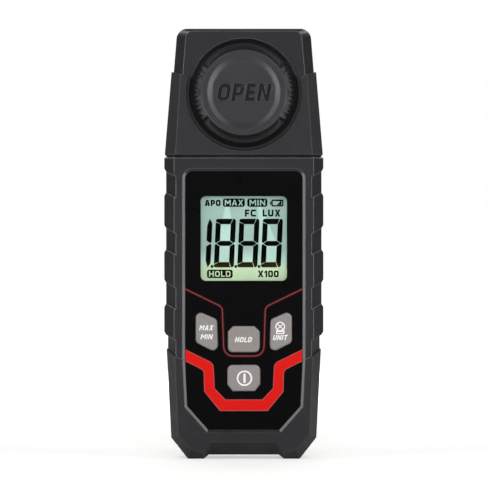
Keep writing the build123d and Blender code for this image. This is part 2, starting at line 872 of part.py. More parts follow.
with BuildPart() as main_board:
    with BuildSketch(facing(board_back)) as board_face:
        with Locations((0, (board_top_z + board_bottom_z) / 2)):
            RectangleRounded(board_half_width * 2, board_top_z - board_bottom_z, board_corner)
    extrude(board_face.sketch, amount=board_thickness)
    post(board_front, board_screw_places, board_screw_radius + running_clearance, board_thickness,
         Mode.SUBTRACT)
keep(main_board, "main_board")

with BuildPart() as board_screws:
    screws(board_screw_places, board_back, board_screw_length, board_screw_radius, board_screw_head,
           board_screw_head_height)
keep(board_screws, "board_screws")

with BuildPart() as controller_chip:
    chip(chip_place, chip_size, chip_lead_count)
keep(controller_chip, "controller_chip")

with BuildPart() as amplifier_chip:
    chip(small_chip_place, small_chip_size, small_chip_lead_count)
keep(amplifier_chip, "amplifier_chip")

with BuildPart() as crystal:
    with BuildSketch(facing(board_back)) as crystal_face:
        with Locations(crystal_place):
            SlotOverall(crystal_length, crystal_radius * 2)
    extrude(crystal_face.sketch, amount=-crystal_radius * 2)
keep(crystal, "crystal")

with BuildPart() as capacitors:
    with BuildSketch(facing(board_back)) as capacitor_faces:
        with Locations(capacitor_place):
            with GridLocations(capacitor_pitch, 0, capacitor_count, 1):
                Circle(capacitor_radius)
    extrude(capacitor_faces.sketch, amount=-capacitor_height)
keep(capacitors, "capacitors")

with BuildPart() as wire_socket:
    block((0, socket_top_z - socket_height / 2), socket_width, socket_height, board_back - socket_depth,
          board_back)
keep(wire_socket, "wire_socket")

with BuildPart() as key_switches:
    for outline, place in keys.values():
        block(place, switch_size, switch_size, board_front, switch_front)
        with BuildSketch(facing(switch_front)) as plunger_hole:
            with Locations(place):
                Circle(plunger_radius + running_clearance)
        hole_depth = plunger_depth + key_travel + running_clearance
        extrude(plunger_hole.sketch, amount=-hole_depth, mode=Mode.SUBTRACT)
keep(key_switches, "key_switches")

# Keys, each on the plunger of its own switch

for name, (outline, place) in keys.items():
    with BuildPart() as key:
        prism(outline, key_flange_front, key_front)
        chamfer(key.faces().sort_by(Axis.Y)[0].edges(), length=key_crown)
        prism(grown(outline, key_flange), key_back, key_flange_front)
        with BuildSketch(facing(plunger_front)) as key_post:
            with Locations(place):
                Circle(key_post_radius)
        extrude(key_post.sketch, amount=key_back - plunger_front)
    keep(key, f"key_{name}")
    with BuildPart() as plunger:
        with BuildSketch(facing(plunger_front)) as plunger_face:
            with Locations(place):
                Circle(plunger_radius)
        extrude(plunger_face.sketch, amount=-(plunger_proud + plunger_depth))
    keep(plunger, f"plunger_{name}")

# Cells, contacts and springs

for name, (x, upright) in cells.items():
    foot_z = bay_bottom_z + contact_thickness + (spring_height if upright else cell_nub)
    nub_z = foot_z + cell_length - cell_nub if upright else foot_z - cell_nub
    with BuildPart() as cell:
        with BuildSketch(Plane(origin=(x, parting_y - cell_depth, foot_z))) as can_section:
            Circle(cell_radius)
        extrude(can_section.sketch, amount=cell_length - cell_nub)
        chamfer(cell.edges().filter_by(GeomType.CIRCLE), length=cell_edge)
        with BuildSketch(Plane(origin=(x, parting_y - cell_depth, nub_z))) as nub_section:
            Circle(cell_nub_radius)
        extrude(nub_section.sketch, amount=cell_nub)
    keep(cell, name)

# At each end one plate bridges two cells and the other has a leg to the board
for name, low_z, side in (
    ("top_contacts", bay_top_z - contact_thickness, -1), ("bottom_contacts", bay_bottom_z, 1),
):
    with BuildPart() as contacts:
        with BuildSketch(level(low_z)) as plates:
            with Locations((side * cell_pitch, -cell_depth)):
                Rectangle(contact_width, contact_width)
            with Locations((-side * cell_pitch / 2, -cell_depth)):
                Rectangle(contact_width + cell_pitch, contact_width)
            with Locations((side * cell_pitch, -(cell_depth + board_back) / 2)):
                Rectangle(contact_leg_width, board_back - cell_depth)
        extrude(plates.sketch, amount=contact_thickness)
    keep(contacts, name)

with BuildPart() as contact_springs:
    for x, upright in cells.values():
        base_z = bay_bottom_z + contact_thickness
        if not upright:
            base_z = bay_top_z - contact_thickness - spring_height
        rise = spring_height - spring_wire_radius * 2
        with BuildLine(Plane(origin=(x, parting_y - cell_depth, base_z + spring_wire_radius))) as coil:
            Helix(pitch=rise / spring_turns, height=rise, radius=spring_radius)
        with BuildSketch(Plane(origin=coil.line @ 0, z_dir=coil.line % 0)) as wire_section:
            Circle(spring_wire_radius)
        sweep(wire_section.sketch, path=coil.line)
keep(contact_springs, "contact_springs")

# Battery door with its captive screws, and the inserts they turn in

with BuildPart() as door_inserts:
    post(insert_end, door_screw_places, insert_radius, insert_length)
    post(insert_end, door_screw_places, door_screw_radius + running_clearance, insert_length, Mode.SUBTRACT)
keep(door_inserts, "door_inserts")

with BuildPart() as battery_door:
    prism(door_outline, -half_depth, door_inner)
    chamfer(battery_door.faces().sort_by(Axis.Y)[-1].edges(), length=door_edge)
    with BuildSketch(facing(-half_depth)) as door_grooves:
        with Locations((0, door_top_z - door_grip_drop)):
            with GridLocations(0, door_grip_pitch, 1, door_grip_count):
                SlotOverall(door_grip_half * 2, door_grip_radius * 2)
    extrude(door_grooves.sketch, amount=door_grip_depth, mode=Mode.SUBTRACT)
    post(door_inner, door_screw_places, door_screw_radius, door_thickness, Mode.SUBTRACT)
    post(door_screw_seat, door_screw_places, door_screw_head + running_clearance, door_thickness,
         Mode.SUBTRACT)
keep(battery_door, "battery_door")

with BuildPart() as door_screws:
    screws(door_screw_places, door_screw_seat, door_screw_length, door_screw_radius, door_screw_head,
           door_screw_head_height)
keep(door_screws, "door_screws")

# Head while it is still solid, and the collar round it

with BuildPart() as head_form:
    tapered(
        head_foot_half_width, head_top_half_width, head_base_z, total_height, head_facet, head_top_facet,
        head_corner, head_face_corner, head_front, side_depth,
    )

with BuildPart() as collar_bed:
    faceted(
        [
            (bed_top_half_width - collar_facet + collar_bed_narrowing, collar_top_z),
            (bed_foot_half_width - collar_foot_facet + collar_bed_narrowing, head_base_z),
        ],
        [(bed_top_half_width, collar_top_z), (bed_foot_half_width, head_base_z)],
        half_depth - collar_face_thickness, side_depth,
    )

with BuildPart() as collar_form:
    faceted(
        [
            (collar_top_half_width - collar_facet, collar_top_z),
            (collar_foot_half_width - collar_foot_facet, head_base_z),
        ],
        [(collar_top_half_width, collar_top_z), (collar_foot_half_width, head_base_z)],
        half_depth, side_depth,
    )
    with BuildSketch(facing(half_depth)) as below_shoulder:
        both_sides([
            (shoulder_inner_half, collar_top_z - shoulder_inner_drop),
            (shoulder_half, collar_top_z - shoulder_drop),
            (collar_top_half_width, collar_top_z), (collar_foot_half_width, collar_top_z),
            (collar_foot_half_width, head_base_z),
        ])
    extrude(below_shoulder.sketch, amount=-2 * half_depth, mode=Mode.INTERSECT)
    add(collar_bed.part, mode=Mode.SUBTRACT)

with BuildPart() as head_collar:
    add(collar_form.part)
    chamfer(head_collar.faces().sort_by(Axis.Z)[0].outer_wire().edges(), length=seam_chamfer)
    disc(half_depth, ring_radius + ring_gap, half_depth, Mode.SUBTRACT)
    post(-side_depth, [head_low_screws], screw_recess_radius, half_depth, Mode.SUBTRACT)
keep(head_collar, "head_collar")

# The collar without the island of the sensor ring, which stays part of the head
with BuildPart() as collar_room:
    add(collar_form.part)
    disc(half_depth, ring_radius, half_depth, Mode.SUBTRACT)

with BuildPart() as head_cavity:
    tapered(
        bed_foot_half_width - head_wall, head_top_half_width - head_wall, head_floor_z, total_height - wall,
        head_cavity_facet, head_top_facet, head_corner - wall, head_face_corner - wall,
        half_depth - collar_face_thickness - head_wall, side_depth - head_cavity_inset,
    )

with BuildPart() as head_front_room:
    add(head_cavity.part)
    disc(head_front, recess_radius + recess_wall, head_front - recess_back, Mode.SUBTRACT)
    post(head_front, head_screw_places, case_boss_radius, head_front, Mode.SUBTRACT)
    post(recess_back, sensor_screw_places, board_boss_radius, recess_back - sensor_board_front, Mode.SUBTRACT)

with BuildPart() as head_front_shell:
    add(head_form.part)
    add(collar_room.part, mode=Mode.SUBTRACT)
    add(head_front_room.part, mode=Mode.SUBTRACT)
    split(bisect_by=facing(0), keep=Keep.TOP)
    disc(head_front, recess_radius, recess_depth, Mode.SUBTRACT)
    disc(recess_floor, light_hole_radius, recess_wall, Mode.SUBTRACT)
    spindle(head_base_z - overrun, head_floor_z, neck_radius, Mode.SUBTRACT)
    post(case_screw_reach, head_screw_places, case_screw_radius, case_screw_reach, Mode.SUBTRACT)
    post(sensor_board_back + sensor_screw_length, sensor_screw_places, board_screw_radius,
         sensor_screw_length, Mode.SUBTRACT)
keep(head_front_shell, "head_front_shell")

with BuildPart() as head_back_room:
    add(head_cavity.part)
    post(0, head_screw_places, recess_boss_radius, half_depth, Mode.SUBTRACT)

with BuildPart() as head_back_shell:
    add(head_form.part)
    add(collar_room.part, mode=Mode.SUBTRACT)
    add(head_back_room.part, mode=Mode.SUBTRACT)
    split(bisect_by=facing(0), keep=Keep.BOTTOM)
    spindle(head_base_z - overrun, head_floor_z, neck_radius, Mode.SUBTRACT)
    post(0, head_screw_places, case_screw_radius + running_clearance, case_screw_seat, Mode.SUBTRACT)
    post(-case_screw_seat, head_screw_places, screw_recess_radius, half_depth, Mode.SUBTRACT)
keep(head_back_shell, "head_back_shell")

with BuildPart() as head_screws:
    screws(head_screw_places, -case_screw_seat, case_screw_seat + case_screw_reach, case_screw_radius,
           case_screw_head, case_screw_head_height)
keep(head_screws, "head_screws")

# Sensor, from the dome inwards

with BuildPart() as diffuser_dome:
    disc(recess_floor + dome_flange_thickness, dome_flange_radius, dome_flange_thickness)
    dome(dome_radius, dome_rise)
    dome(dome_radius - dome_wall, dome_rise - dome_wall, Mode.SUBTRACT)
    disc(recess_floor + dome_flange_thickness, dome_radius - dome_wall, dome_flange_thickness, Mode.SUBTRACT)
keep(diffuser_dome, "diffuser_dome")

with BuildPart() as dome_ring:
    disc(recess_floor + bezel_height, bezel_radius, bezel_height)
    chamfer(dome_ring.faces().sort_by(Axis.Y)[0].edges(), length=bezel_edge)
    disc(recess_floor + dome_flange_thickness, dome_flange_radius, dome_flange_thickness, Mode.SUBTRACT)
    disc(recess_floor + bezel_height, dome_radius + running_clearance, bezel_height, Mode.SUBTRACT)
keep(dome_ring, "dome_ring")

with BuildPart() as light_filter:
    disc(recess_back, filter_radius, filter_thickness)
keep(light_filter, "light_filter")

with BuildPart() as sensor_holder:
    block((0, sensor_z), sensor_holder_half * 2, sensor_holder_half * 2, sensor_board_front, recess_back)
    disc(recess_back, filter_radius, filter_thickness, Mode.SUBTRACT)
    block((0, sensor_z), diode_size + running_clearance * 2, diode_size + running_clearance * 2,
          sensor_board_front, recess_back, Mode.SUBTRACT)
keep(sensor_holder, "sensor_holder")

with BuildPart() as photodiode:
    block((0, sensor_z), diode_size, diode_size, sensor_board_front, sensor_board_front + diode_thickness)
keep(photodiode, "photodiode")

with BuildPart() as sensor_board:
    with BuildSketch(facing(sensor_board_back)) as sensor_board_face:
        with Locations((0, sensor_z)):
            RectangleRounded(sensor_board_half * 2, sensor_board_half * 2, board_corner)
    extrude(sensor_board_face.sketch, amount=sensor_board_thickness)
    post(sensor_board_front, sensor_screw_places, board_screw_radius + running_clearance,
         sensor_board_thickness, Mode.SUBTRACT)
keep(sensor_board, "sensor_board")

with BuildPart() as sensor_board_screws:
    screws(sensor_screw_places, sensor_board_back, sensor_screw_length, board_screw_radius, board_screw_head,
           board_screw_head_height)
keep(sensor_board_screws, "sensor_board_screws")

# Swivel: a hollow neck fixed in the head turns in the top wall of the body

with BuildPart() as swivel_neck:
    spindle(neck_low_z, neck_shoulder_z, neck_flange_radius)
    with BuildSketch(level(neck_low_z)) as stop_lug:
        with Locations(Location((0, 0, 0), (0, 0, lug_angle))):
            with Locations((stop_radius / 2, 0)):
                Rectangle(stop_radius, stop_width)
    extrude(stop_lug.sketch, amount=neck_flange_thickness)
    spindle(neck_shoulder_z, head_floor_z, neck_radius)
    with BuildSketch(level(head_floor_z)) as upper_flange:
        Circle(neck_flange_radius)
        with Locations((0, -recess_back - neck_flange_radius + rest_gap)):
            Rectangle(neck_flange_radius * 2, neck_flange_radius * 2, mode=Mode.SUBTRACT)
    extrude(upper_flange.sketch, amount=neck_flange_thickness)
    spindle(neck_low_z, neck_high_z, neck_bore_radius, Mode.SUBTRACT)
keep(swivel_neck, "swivel_neck")

with BuildPart() as friction_washer:
    spindle(washer_low_z, body_ceiling_z, neck_flange_radius)
    spindle(washer_low_z, body_ceiling_z, neck_radius + rest_gap, Mode.SUBTRACT)
keep(friction_washer, "friction_washer")

# The cable turns with the head above the middle of the neck and stays with the body below it
cable_runs = {
    "upper_sensor_cable": [(sensor_board_back, cable_exit_z), (0, cable_exit_z), (0, cable_split_z)],
    "lower_sensor_cable": [
        (0, cable_split_z), (0, cable_turn_z), (board_back - socket_depth / 2, cable_turn_z - cable_lead),
        (board_back - socket_depth / 2, socket_top_z),
    ],
}
for name, run in cable_runs.items():
    with BuildPart() as cable:
        with BuildLine() as route:
            FilletPolyline(*[(0, parting_y - depth, height) for depth, height in run], radius=cable_bend)
        with BuildSketch(Plane(origin=route.line @ 0, z_dir=route.line % 0)) as cable_section:
            Circle(cable_radius)
        sweep(cable_section.sketch, path=route.line)
    keep(cable, name)

# Cap that is pushed over the ring of the dome

with BuildPart() as sensor_cap:
    skirt_radius = bezel_radius + running_clearance
    skirt_back = recess_floor + cap_skirt_end
    ear_reach = cap_ear_radius / tan(radians(cap_ear_half_angle))
    tooth_angle = cap_ear_half_angle * 2 / cap_tooth_count
    disc(cap_front, cap_boss_radius, cap_front - cap_disc_front)
    chamfer(sensor_cap.faces().sort_by(Axis.Y)[0].edges(), length=cap_boss_edge)
    with BuildSketch(facing(cap_disc_front)) as ears:
        with Locations((0, sensor_z)):
            Circle(cap_ear_radius)
            for side, middle_angle in ((1, 0), (-1, full_turn / 2)):
                Polygon((0, 0), (ear_reach, side * cap_ear_radius), (-ear_reach, side * cap_ear_radius),
                        align=None, mode=Mode.SUBTRACT)
                first_groove = middle_angle - cap_ear_half_angle + tooth_angle
                with PolarLocations(cap_ear_radius, cap_tooth_count - 1, first_groove,
                                    tooth_angle * (cap_tooth_count - 1)):
                    Rectangle(cap_groove_depth * 2, cap_groove_width, mode=Mode.SUBTRACT)
    extrude(ears.sketch, amount=cap_front - cap_ear_drop - cap_disc_front)
    with BuildSketch(facing(cap_front)) as dish_rim:
        with Locations((0, sensor_z)):
            Circle(cap_bevel_outer)
    with BuildSketch(facing(cap_front - cap_dish_depth)) as dish_floor:
        with Locations((0, sensor_z)):
            Circle(cap_bevel_inner)
    loft([dish_rim.sketch, dish_floor.sketch], ruled=True, mode=Mode.SUBTRACT)
    disc(cap_disc_front, cap_disc_radius, cap_disc_thickness)
    disc(cap_disc_back, skirt_radius + cap_wall, cap_disc_back - skirt_back)
    disc(cap_disc_back, skirt_radius, cap_disc_back - skirt_back, Mode.SUBTRACT)
    disc(cap_front - cap_dish_depth - cap_face_wall, cap_boss_radius - cap_wall,
         cap_front - cap_dish_depth - cap_face_wall - cap_disc_back, Mode.SUBTRACT)
keep(sensor_cap, "sensor_cap")
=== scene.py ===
import logging
import math
from dataclasses import dataclass, field
from enum import Enum
from typing import Any, Mapping, Optional, Sequence, Union

import bpy
from mathutils import Matrix, Vector


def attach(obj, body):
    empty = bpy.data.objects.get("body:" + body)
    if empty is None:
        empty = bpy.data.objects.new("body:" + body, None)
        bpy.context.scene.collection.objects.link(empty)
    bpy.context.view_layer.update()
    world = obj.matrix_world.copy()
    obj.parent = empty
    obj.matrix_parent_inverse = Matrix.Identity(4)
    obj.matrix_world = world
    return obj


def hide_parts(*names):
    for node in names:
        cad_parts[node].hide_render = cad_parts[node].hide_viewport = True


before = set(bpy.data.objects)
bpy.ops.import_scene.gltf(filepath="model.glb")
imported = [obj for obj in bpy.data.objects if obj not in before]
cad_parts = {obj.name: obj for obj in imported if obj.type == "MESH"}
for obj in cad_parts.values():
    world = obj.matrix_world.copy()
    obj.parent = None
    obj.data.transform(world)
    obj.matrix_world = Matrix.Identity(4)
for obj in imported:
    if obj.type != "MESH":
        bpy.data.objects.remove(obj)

MM = 0.001
SENSOR_HEIGHT = 135.95 * MM
MERGE = 0.002 * MM
# Noise lies mostly between these values
MIDDLE = (0.3, 0.7)
# Cosines of the turn at a rounded edge, from fully covered by the painted highlight to untouched
EDGE_TURN = (0.9, 0.985)
EDGE_SAMPLES = 4
# Cosine at which the mitre of a stroke's bend stops growing
SHARPEST = 0.5
log = logging.getLogger("light_meter")

Point = tuple[float, float]
Outline = list[Point]
Place = tuple[float, float, float]
Boxes = tuple[tuple[float, ...], ...]
Tree = bpy.types.NodeTree
Socket = bpy.types.NodeSocket
Piece = bpy.types.Object
Key = Union[int, str]
Inputs = Union[Sequence[Any], Mapping[Key, Any]]


class Ride(Enum):
    """Bodies of the frame that a new piece can ride on."""

    BODY = "body"
    CAP = "cap"
    HOLD = "hold_key"
    POWER = "power_key"
    UNIT = "unit_key"
    MAX_MIN = "max_min_key"


class Slot(Enum):
    """Names of the record's material slots."""

    CAP = "cap_grey"
    PANEL = "panel_black"
    KEY = "key_rubber"
    CELL = "lcd_glass"


# Finishes. Where a node's inputs are given in order, noise takes place, W, scale, detail and roughness,
# and a map range takes the value, its two limits and the two results


def linear(colour: str) -> tuple[float, float, float, float]:
    """Turn an sRGB hex colour into the linear red, green, blue and alpha that shaders work in."""
    shares = [int(colour[start:start + 2], 16) / 255 for start in (1, 3, 5)]
    return (*[s / 12.92 if s <= 0.04045 else ((s + 0.055) / 1.055) ** 2.4 for s in shares], 1.0)


def per_mm(size: float) -> float:
    """Scale of a pattern on Object coordinates whose features are a size in millimetres."""
    return 1 / (size * MM)


def metres(*lengths: float) -> tuple[float, ...]:
    """Lengths in metres of ones in millimetres."""
    return tuple(length * MM for length in lengths)


def feed(socket: Socket, value: Any) -> None:
    """Give an input its value, or the socket that feeds it."""
    if isinstance(value, Socket):
        socket.id_data.links.new(value, socket)
    else:
        socket.default_value = value


def add_node(tree: Tree, kind: str, inputs: Inputs = (), out: Key = 0, **properties: Any) -> Socket:
    """Add a node with its settings and the sockets that feed it.

    Args:
        tree: Node tree that gets the node.
        kind: Node type, as Blender names it after ShaderNode.
        inputs: Values or feeding sockets of its inputs, in order, or by name or number.
        out: Name or number of the output that is asked for.
        **properties: Values of the node's own properties.

    Returns:
        That output.
    """
    node = tree.nodes.new("ShaderNode" + kind)
    for name, value in properties.items():
        setattr(node, name, value)
    for key, value in (inputs if isinstance(inputs, Mapping) else dict(enumerate(inputs))).items():
        feed(node.inputs[key], value)
    return node.outputs[out]


@dataclass(frozen=True)
class Skin:
    """Nodes of one material: its tree, the shader that they feed and the Object coordinates."""

    tree: Tree
    shader: bpy.types.Node
    place: Socket

    def add(self, kind: str, inputs: Inputs = (), out: Key = 0, **properties: Any) -> Socket:
        """Add a node to this material, as add_node does."""
        return add_node(self.tree, kind, inputs, out, **properties)

    def feed(self, name: str, value: Any) -> None:
        """Give an input of the shader its value, or the socket that feeds it."""
        feed(self.shader.inputs[name], value)

    def fed(self, name: str) -> Socket:
        """Give the socket that feeds an input of the shader."""
        return self.shader.inputs[name].links[0].from_socket

    def tone(self, share: Socket, low: str, high: str) -> None:
        """Colour the shader between two hex colours by a share that runs from 0 to 1."""
        colours = {0: share, 6: linear(low), 7: linear(high)}
        self.feed("Base Color", self.add("Mix", colours, 2, data_type="RGBA"))

    def blend(self, share: Socket, over: str) -> None:
        """Lay another hex colour over the base colour, fully where the share is 1."""
        colours = {0: share, 6: self.fed("Base Color"), 7: linear(over)}
        self.feed("Base Color", self.add("Mix", colours, 2, data_type="RGBA"))

    def relief(self, height: Socket, depth_mm: float, edge_mm: float, strength: float = 1.0) -> Socket:
        """Roughen a surface by a height and round its edges as a mould or a cutter leaves them.

        Args:
            height: Socket that runs from 0 to 1.
            depth_mm: Depth of the pattern.
            edge_mm: Radius at the edges.
            strength: Strength of the bump.

        Returns:
            The normal of the rounded edges.
        """
        edge = self.add("Bevel", {"Radius": edge_mm * MM}, samples=EDGE_SAMPLES)
        bump = {"Strength": strength, "Distance": depth_mm * MM, "Height": height, "Normal": edge}
        self.feed("Normal", self.add("Bump", bump))
        return edge

    def paint_edge_highlight(self, edge: Socket, share: float, colour: str) -> None:
        """Paint a highlight colour over rounded edges, where their radius catches the light.

        Args:
            edge: The normal of the rounded edges.
            share: How far the colour covers the sharpest edge.
            colour: The hex colour.
        """
        normal = self.add("NewGeometry", out="Normal")
        turn = self.add("VectorMath", (edge, normal), "Value", operation="DOT_PRODUCT")
        self.blend(self.add("MapRange", (turn, *EDGE_TURN, share, 0.0)), colour)


@dataclass(frozen=True)
class Finish:
    """A finish with its material's name, main colour and roughness, and how much it reflects."""

    name: str
    colour: str
    roughness: float
    specular: float = 0.5

    def material(self) -> bpy.types.Material:
        """Give the material of this finish, made the first time it is asked for."""
        return bpy.data.materials.get(self.name) or self.make()

    def make(self) -> bpy.types.Material:
        """Make the material and let the kind of finish add its own pattern.

        Returns:
            The new material.
        """
        material = bpy.data.materials.new(self.name)
        material.use_nodes = True
        tree = material.node_tree
        skin = Skin(tree, tree.nodes["Principled BSDF"], add_node(tree, "TexCoord", out="Object"))
        skin.feed("Base Color", linear(self.colour))
        skin.feed("Roughness", self.roughness)
        skin.feed("Specular IOR Level", self.specular)
        self.pattern(skin)
        return material

    def pattern(self, skin: Skin) -> None:
        """Add the pattern of this kind of finish."""

    def vary(self, skin: Skin, share: Socket, low: float, high: float) -> None:
        """Vary the roughness with a noise, by a step at its low values and another at its high ones."""
        steps = (self.roughness + low, self.roughness + high)
        skin.feed("Roughness", skin.add("MapRange", (share, *MIDDLE, *steps)))


@dataclass(frozen=True)
class PolishedBevel:
    """Polish of the bevel round the film, which the eye sees as a thin bright frame.

    It is told from the rest of its node by its depth and by the way that it faces, each with a reach.
    """

    depth_mm: tuple[float, float] = (-13.7, 0.33)
    facing: tuple[float, float] = (-0.857, 0.03)
    roughness: float = 0.24
    gloss: float = 0.45

    def lay(self, skin: Skin, gloss: float) -> None:
        """Smooth the bevel.

        Args:
            skin: Material whose roughness is fed already.
            gloss: Specular level of the rest of the surface.
        """
        masks = []
        for source, (middle, reach) in ((skin.place, metres(*self.depth_mm)),
                                        (skin.add("NewGeometry", out="True Normal"), self.facing)):
            along = skin.add("SeparateXYZ", (source,), "Y")
            masks.append(skin.add("Math", (along, middle, reach), operation="COMPARE"))
        both = skin.add("Math", masks, operation="MULTIPLY")
        rough = {0: both, 2: skin.fed("Roughness"), 3: self.roughness}
        skin.feed("Roughness", skin.add("Mix", rough, data_type="FLOAT"))
        skin.feed("Specular IOR Level", skin.add("MapRange", (both, *MIDDLE, gloss, self.gloss)))


@dataclass(frozen=True)
class GrainedPlastic(Finish):
    """Moulded plastic with a spark-eroded grain.

    The eye sees a fine dull sparkle, edges a little paler where the mould's radius catches the light,
    and slow changes of tone from the flow of the melt.
    """

    pale: str = "#3a383d"
    # Painted highlight colour on the rounded edges, where their radius catches the light
    edge_highlight: str = "#8d8a90"
    edge_mm: float = 0.4
    # The real grain is near 0.15 mm, too fine for the picture, so it is drawn three times as coarse
    grain_mm: float = 0.45
    depth_mm: float = 0.007
    flow_mm: float = 22.0
    bevel: Optional[PolishedBevel] = None

    def shade(self, skin: Skin) -> None:
        """Change the places where the kind of plastic is darker or smoother, if it has any."""

    def pattern(self, skin: Skin) -> None:
        """Add grain, flow marks and rounded edges with a painted highlight."""
        grain = skin.add("TexNoise", (skin.place, 0.0, per_mm(self.grain_mm), 3.0, 0.6))
        flow = skin.add("TexNoise", (skin.place, 0.0, per_mm(self.flow_mm), 2.0, 0.5))
        edge = skin.relief(grain, self.depth_mm, self.edge_mm)
        parts = [skin.add("MapRange", (share, *MIDDLE, 0.0, most))
                 for share, most in ((grain, 0.2), (flow, 0.15))]
        skin.tone(skin.add("Math", parts, operation="ADD"), self.colour, self.pale)
        # Painted highlight on the rounded edges
        skin.paint_edge_highlight(edge, 0.85, self.edge_highlight)
        self.vary(skin, grain, 0.05, -0.05)
        self.shade(skin)
        if self.bevel:
            self.bevel.lay(skin, self.specular)


def from_sensor(skin: Skin) -> Socket:
    """Give the distance from the sensor's axis, which runs from front to back."""
    flat = {"Vector": skin.place, "Location": (0.0, 0.0, -SENSOR_HEIGHT), "Scale": (1.0, 0.0, 1.0)}
    return skin.add("VectorMath", (skin.add("Mapping", flat),), "Value", operation="LENGTH")


@dataclass(frozen=True)
class HeadPlastic(GrainedPlastic):
    """Grained plastic of the head, with painted shade on the ring round the sensor."""

    # Painted shade on the ring round the sensor, which lies lower than the collar
    ring: str = "#19181b"
    # Where the ring starts to fade and where it has gone
    radius_mm: tuple[float, float] = (21.35, 21.45)
    top_mm: tuple[float, float] = (141.5, 143.0)

    def shade(self, skin: Skin) -> None:
        """Paint shade on the ring where the collar leaves it free."""
        height = skin.add("SeparateXYZ", (skin.place,), "Z")
        near = skin.add("MapRange", (from_sensor(skin), *metres(*self.radius_mm), 1.0, 0.0))
        low = skin.add("MapRange", (height, *metres(*self.top_mm), 1.0, 0.0))
        # Painted shade
        skin.blend(skin.add("Math", (near, low), operation="MULTIPLY"), self.ring)


@dataclass(frozen=True)
class CapPlastic(GrainedPlastic):
    """Plastic of the cap: painted shade darkens its low disc round the boss, and disc and ribbed ears are
    duller than the boss.
    """

    # Painted shade on the low disc, which lies recessed round the boss
    painted_disc_shade: str = "#252427"
    disc_front_mm: tuple[float, float] = (-14.9, -14.6)
    dull: float = 0.12
    boss_radius_mm: tuple[float, float] = (16.1, 16.3)

    def shade(self, skin: Skin) -> None:
        """Paint shade on the low disc by its depth, and dull all that lies outside the boss."""
        depth = skin.add("SeparateXYZ", (skin.place,), "Y")
        # Painted shade, deepest on the low disc
        skin.blend(skin.add("MapRange", (depth, *metres(*self.disc_front_mm), 0.0, 1.0)), self.painted_disc_shade)
        limits = (*metres(*self.boss_radius_mm), self.specular, self.dull)
        skin.feed("Specular IOR Level", skin.add("MapRange", (from_sensor(skin), *limits)))


@dataclass(frozen=True)
class SoftElastomer(Finish):
    """Soft-touch elastomer moulded over the hard case.

    The eye sees a dead matt surface with a faint bloom at grazing angles and smudges from handling.
    """

    pale: str = "#333134"
    # Painted highlight colour on the rounded edges
    edge_highlight: str = "#2e2d30"
    bloom: float = 0.05
    edge_mm: float = 0.4
    # Drawn at twice its real size, so that it shows
    grain_mm: float = 0.6
    smudge_mm: float = 14.0
    depth_mm: float = 0.006
    bevel: Optional[PolishedBevel] = None

    def pattern(self, skin: Skin) -> None:
        """Add the fine pores, smudges from handling and the bloom."""
        pores = skin.add("TexNoise", (skin.place, 0.0, per_mm(self.grain_mm), 3.0, 0.65))
        smudge = skin.add("TexNoise", (skin.place, 0.0, per_mm(self.smudge_mm), 3.0, 0.6))
        edge = skin.relief(pores, self.depth_mm, self.edge_mm)
        skin.tone(skin.add("MapRange", (smudge, *MIDDLE, 0.0, 0.5)), self.colour, self.pale)
        # Painted highlight on the rounded edges
        skin.paint_edge_highlight(edge, 0.75, self.edge_highlight)
        self.vary(skin, smudge, 0.05, -0.07)
        skin.feed("Sheen Weight", self.bloom)
        skin.feed("Sheen Roughness", 0.5)
        if self.bevel:
            self.bevel.lay(skin, self.specular)


@dataclass(frozen=True)
class PrintedFilm(Finish):
    """Polycarbonate film printed on its back and pressed into the case.

    The eye sees a deep even black with a slight waviness in its satin reflection.
    """

    wave_mm: float = 2.5
    mark_mm: float = 9.0
    depth_mm: float = 0.006
    edge_mm: float = 0.15

    def pattern(self, skin: Skin) -> None:
        """Add the waviness of the film and faint finger marks."""
        waves = skin.add("TexNoise", (skin.place, 0.0, per_mm(self.wave_mm), 1.0, 0.5))
        skin.relief(waves, self.depth_mm, self.edge_mm)
        marks = skin.add("TexNoise", (skin.place, 0.0, per_mm(self.mark_mm), 4.0, 0.65))
        self.vary(skin, marks, -0.05, 0.07)


@dataclass(frozen=True)
class SiliconeRubber(Finish):
    """Compression-moulded silicone rubber with a matt lacquer.

    The eye sees soft rounded edges and a very fine powdery mottle.
    """

    pale: str = "#9a9491"
    # Coarser than the real 0.2 mm texture of the mould, so that it shows
    mottle_mm: float = 0.5
    depth_mm: float = 0.01
    edge_mm: float = 0.45
    bloom: float = 0.08

    def pattern(self, skin: Skin) -> None:
        """Add the powdery mottle and soft edges."""
        mottle = skin.add("TexNoise", (skin.place, 0.0, per_mm(self.mottle_mm), 3.0, 0.7))
        skin.relief(mottle, self.depth_mm, self.edge_mm)
        skin.tone(skin.add("MapRange", (mottle, *MIDDLE, 0.0, 1.0)), self.colour, self.pale)
        skin.feed("Sheen Weight", self.bloom)


@dataclass(frozen=True)
class ClearMoulding(Finish):
    """Clear acrylic or glass, moulded and polished, which shows what lies behind it."""

    bend: float = 1.49
    scratch_mm: float = 1.2

    def pattern(self, skin: Skin) -> None:
        """Let light through, and add hair-fine scratches to the gloss."""
        skin.feed("Transmission Weight", 1.0)
        skin.feed("IOR", self.bend)
        scratches = skin.add("TexNoise", (skin.place, 0.0, per_mm(self.scratch_mm), 4.0, 0.7))
        limits = (0.5, 0.8, self.roughness, self.roughness + 0.02)
        skin.feed("Roughness", skin.add("MapRange", (scratches, *limits)))


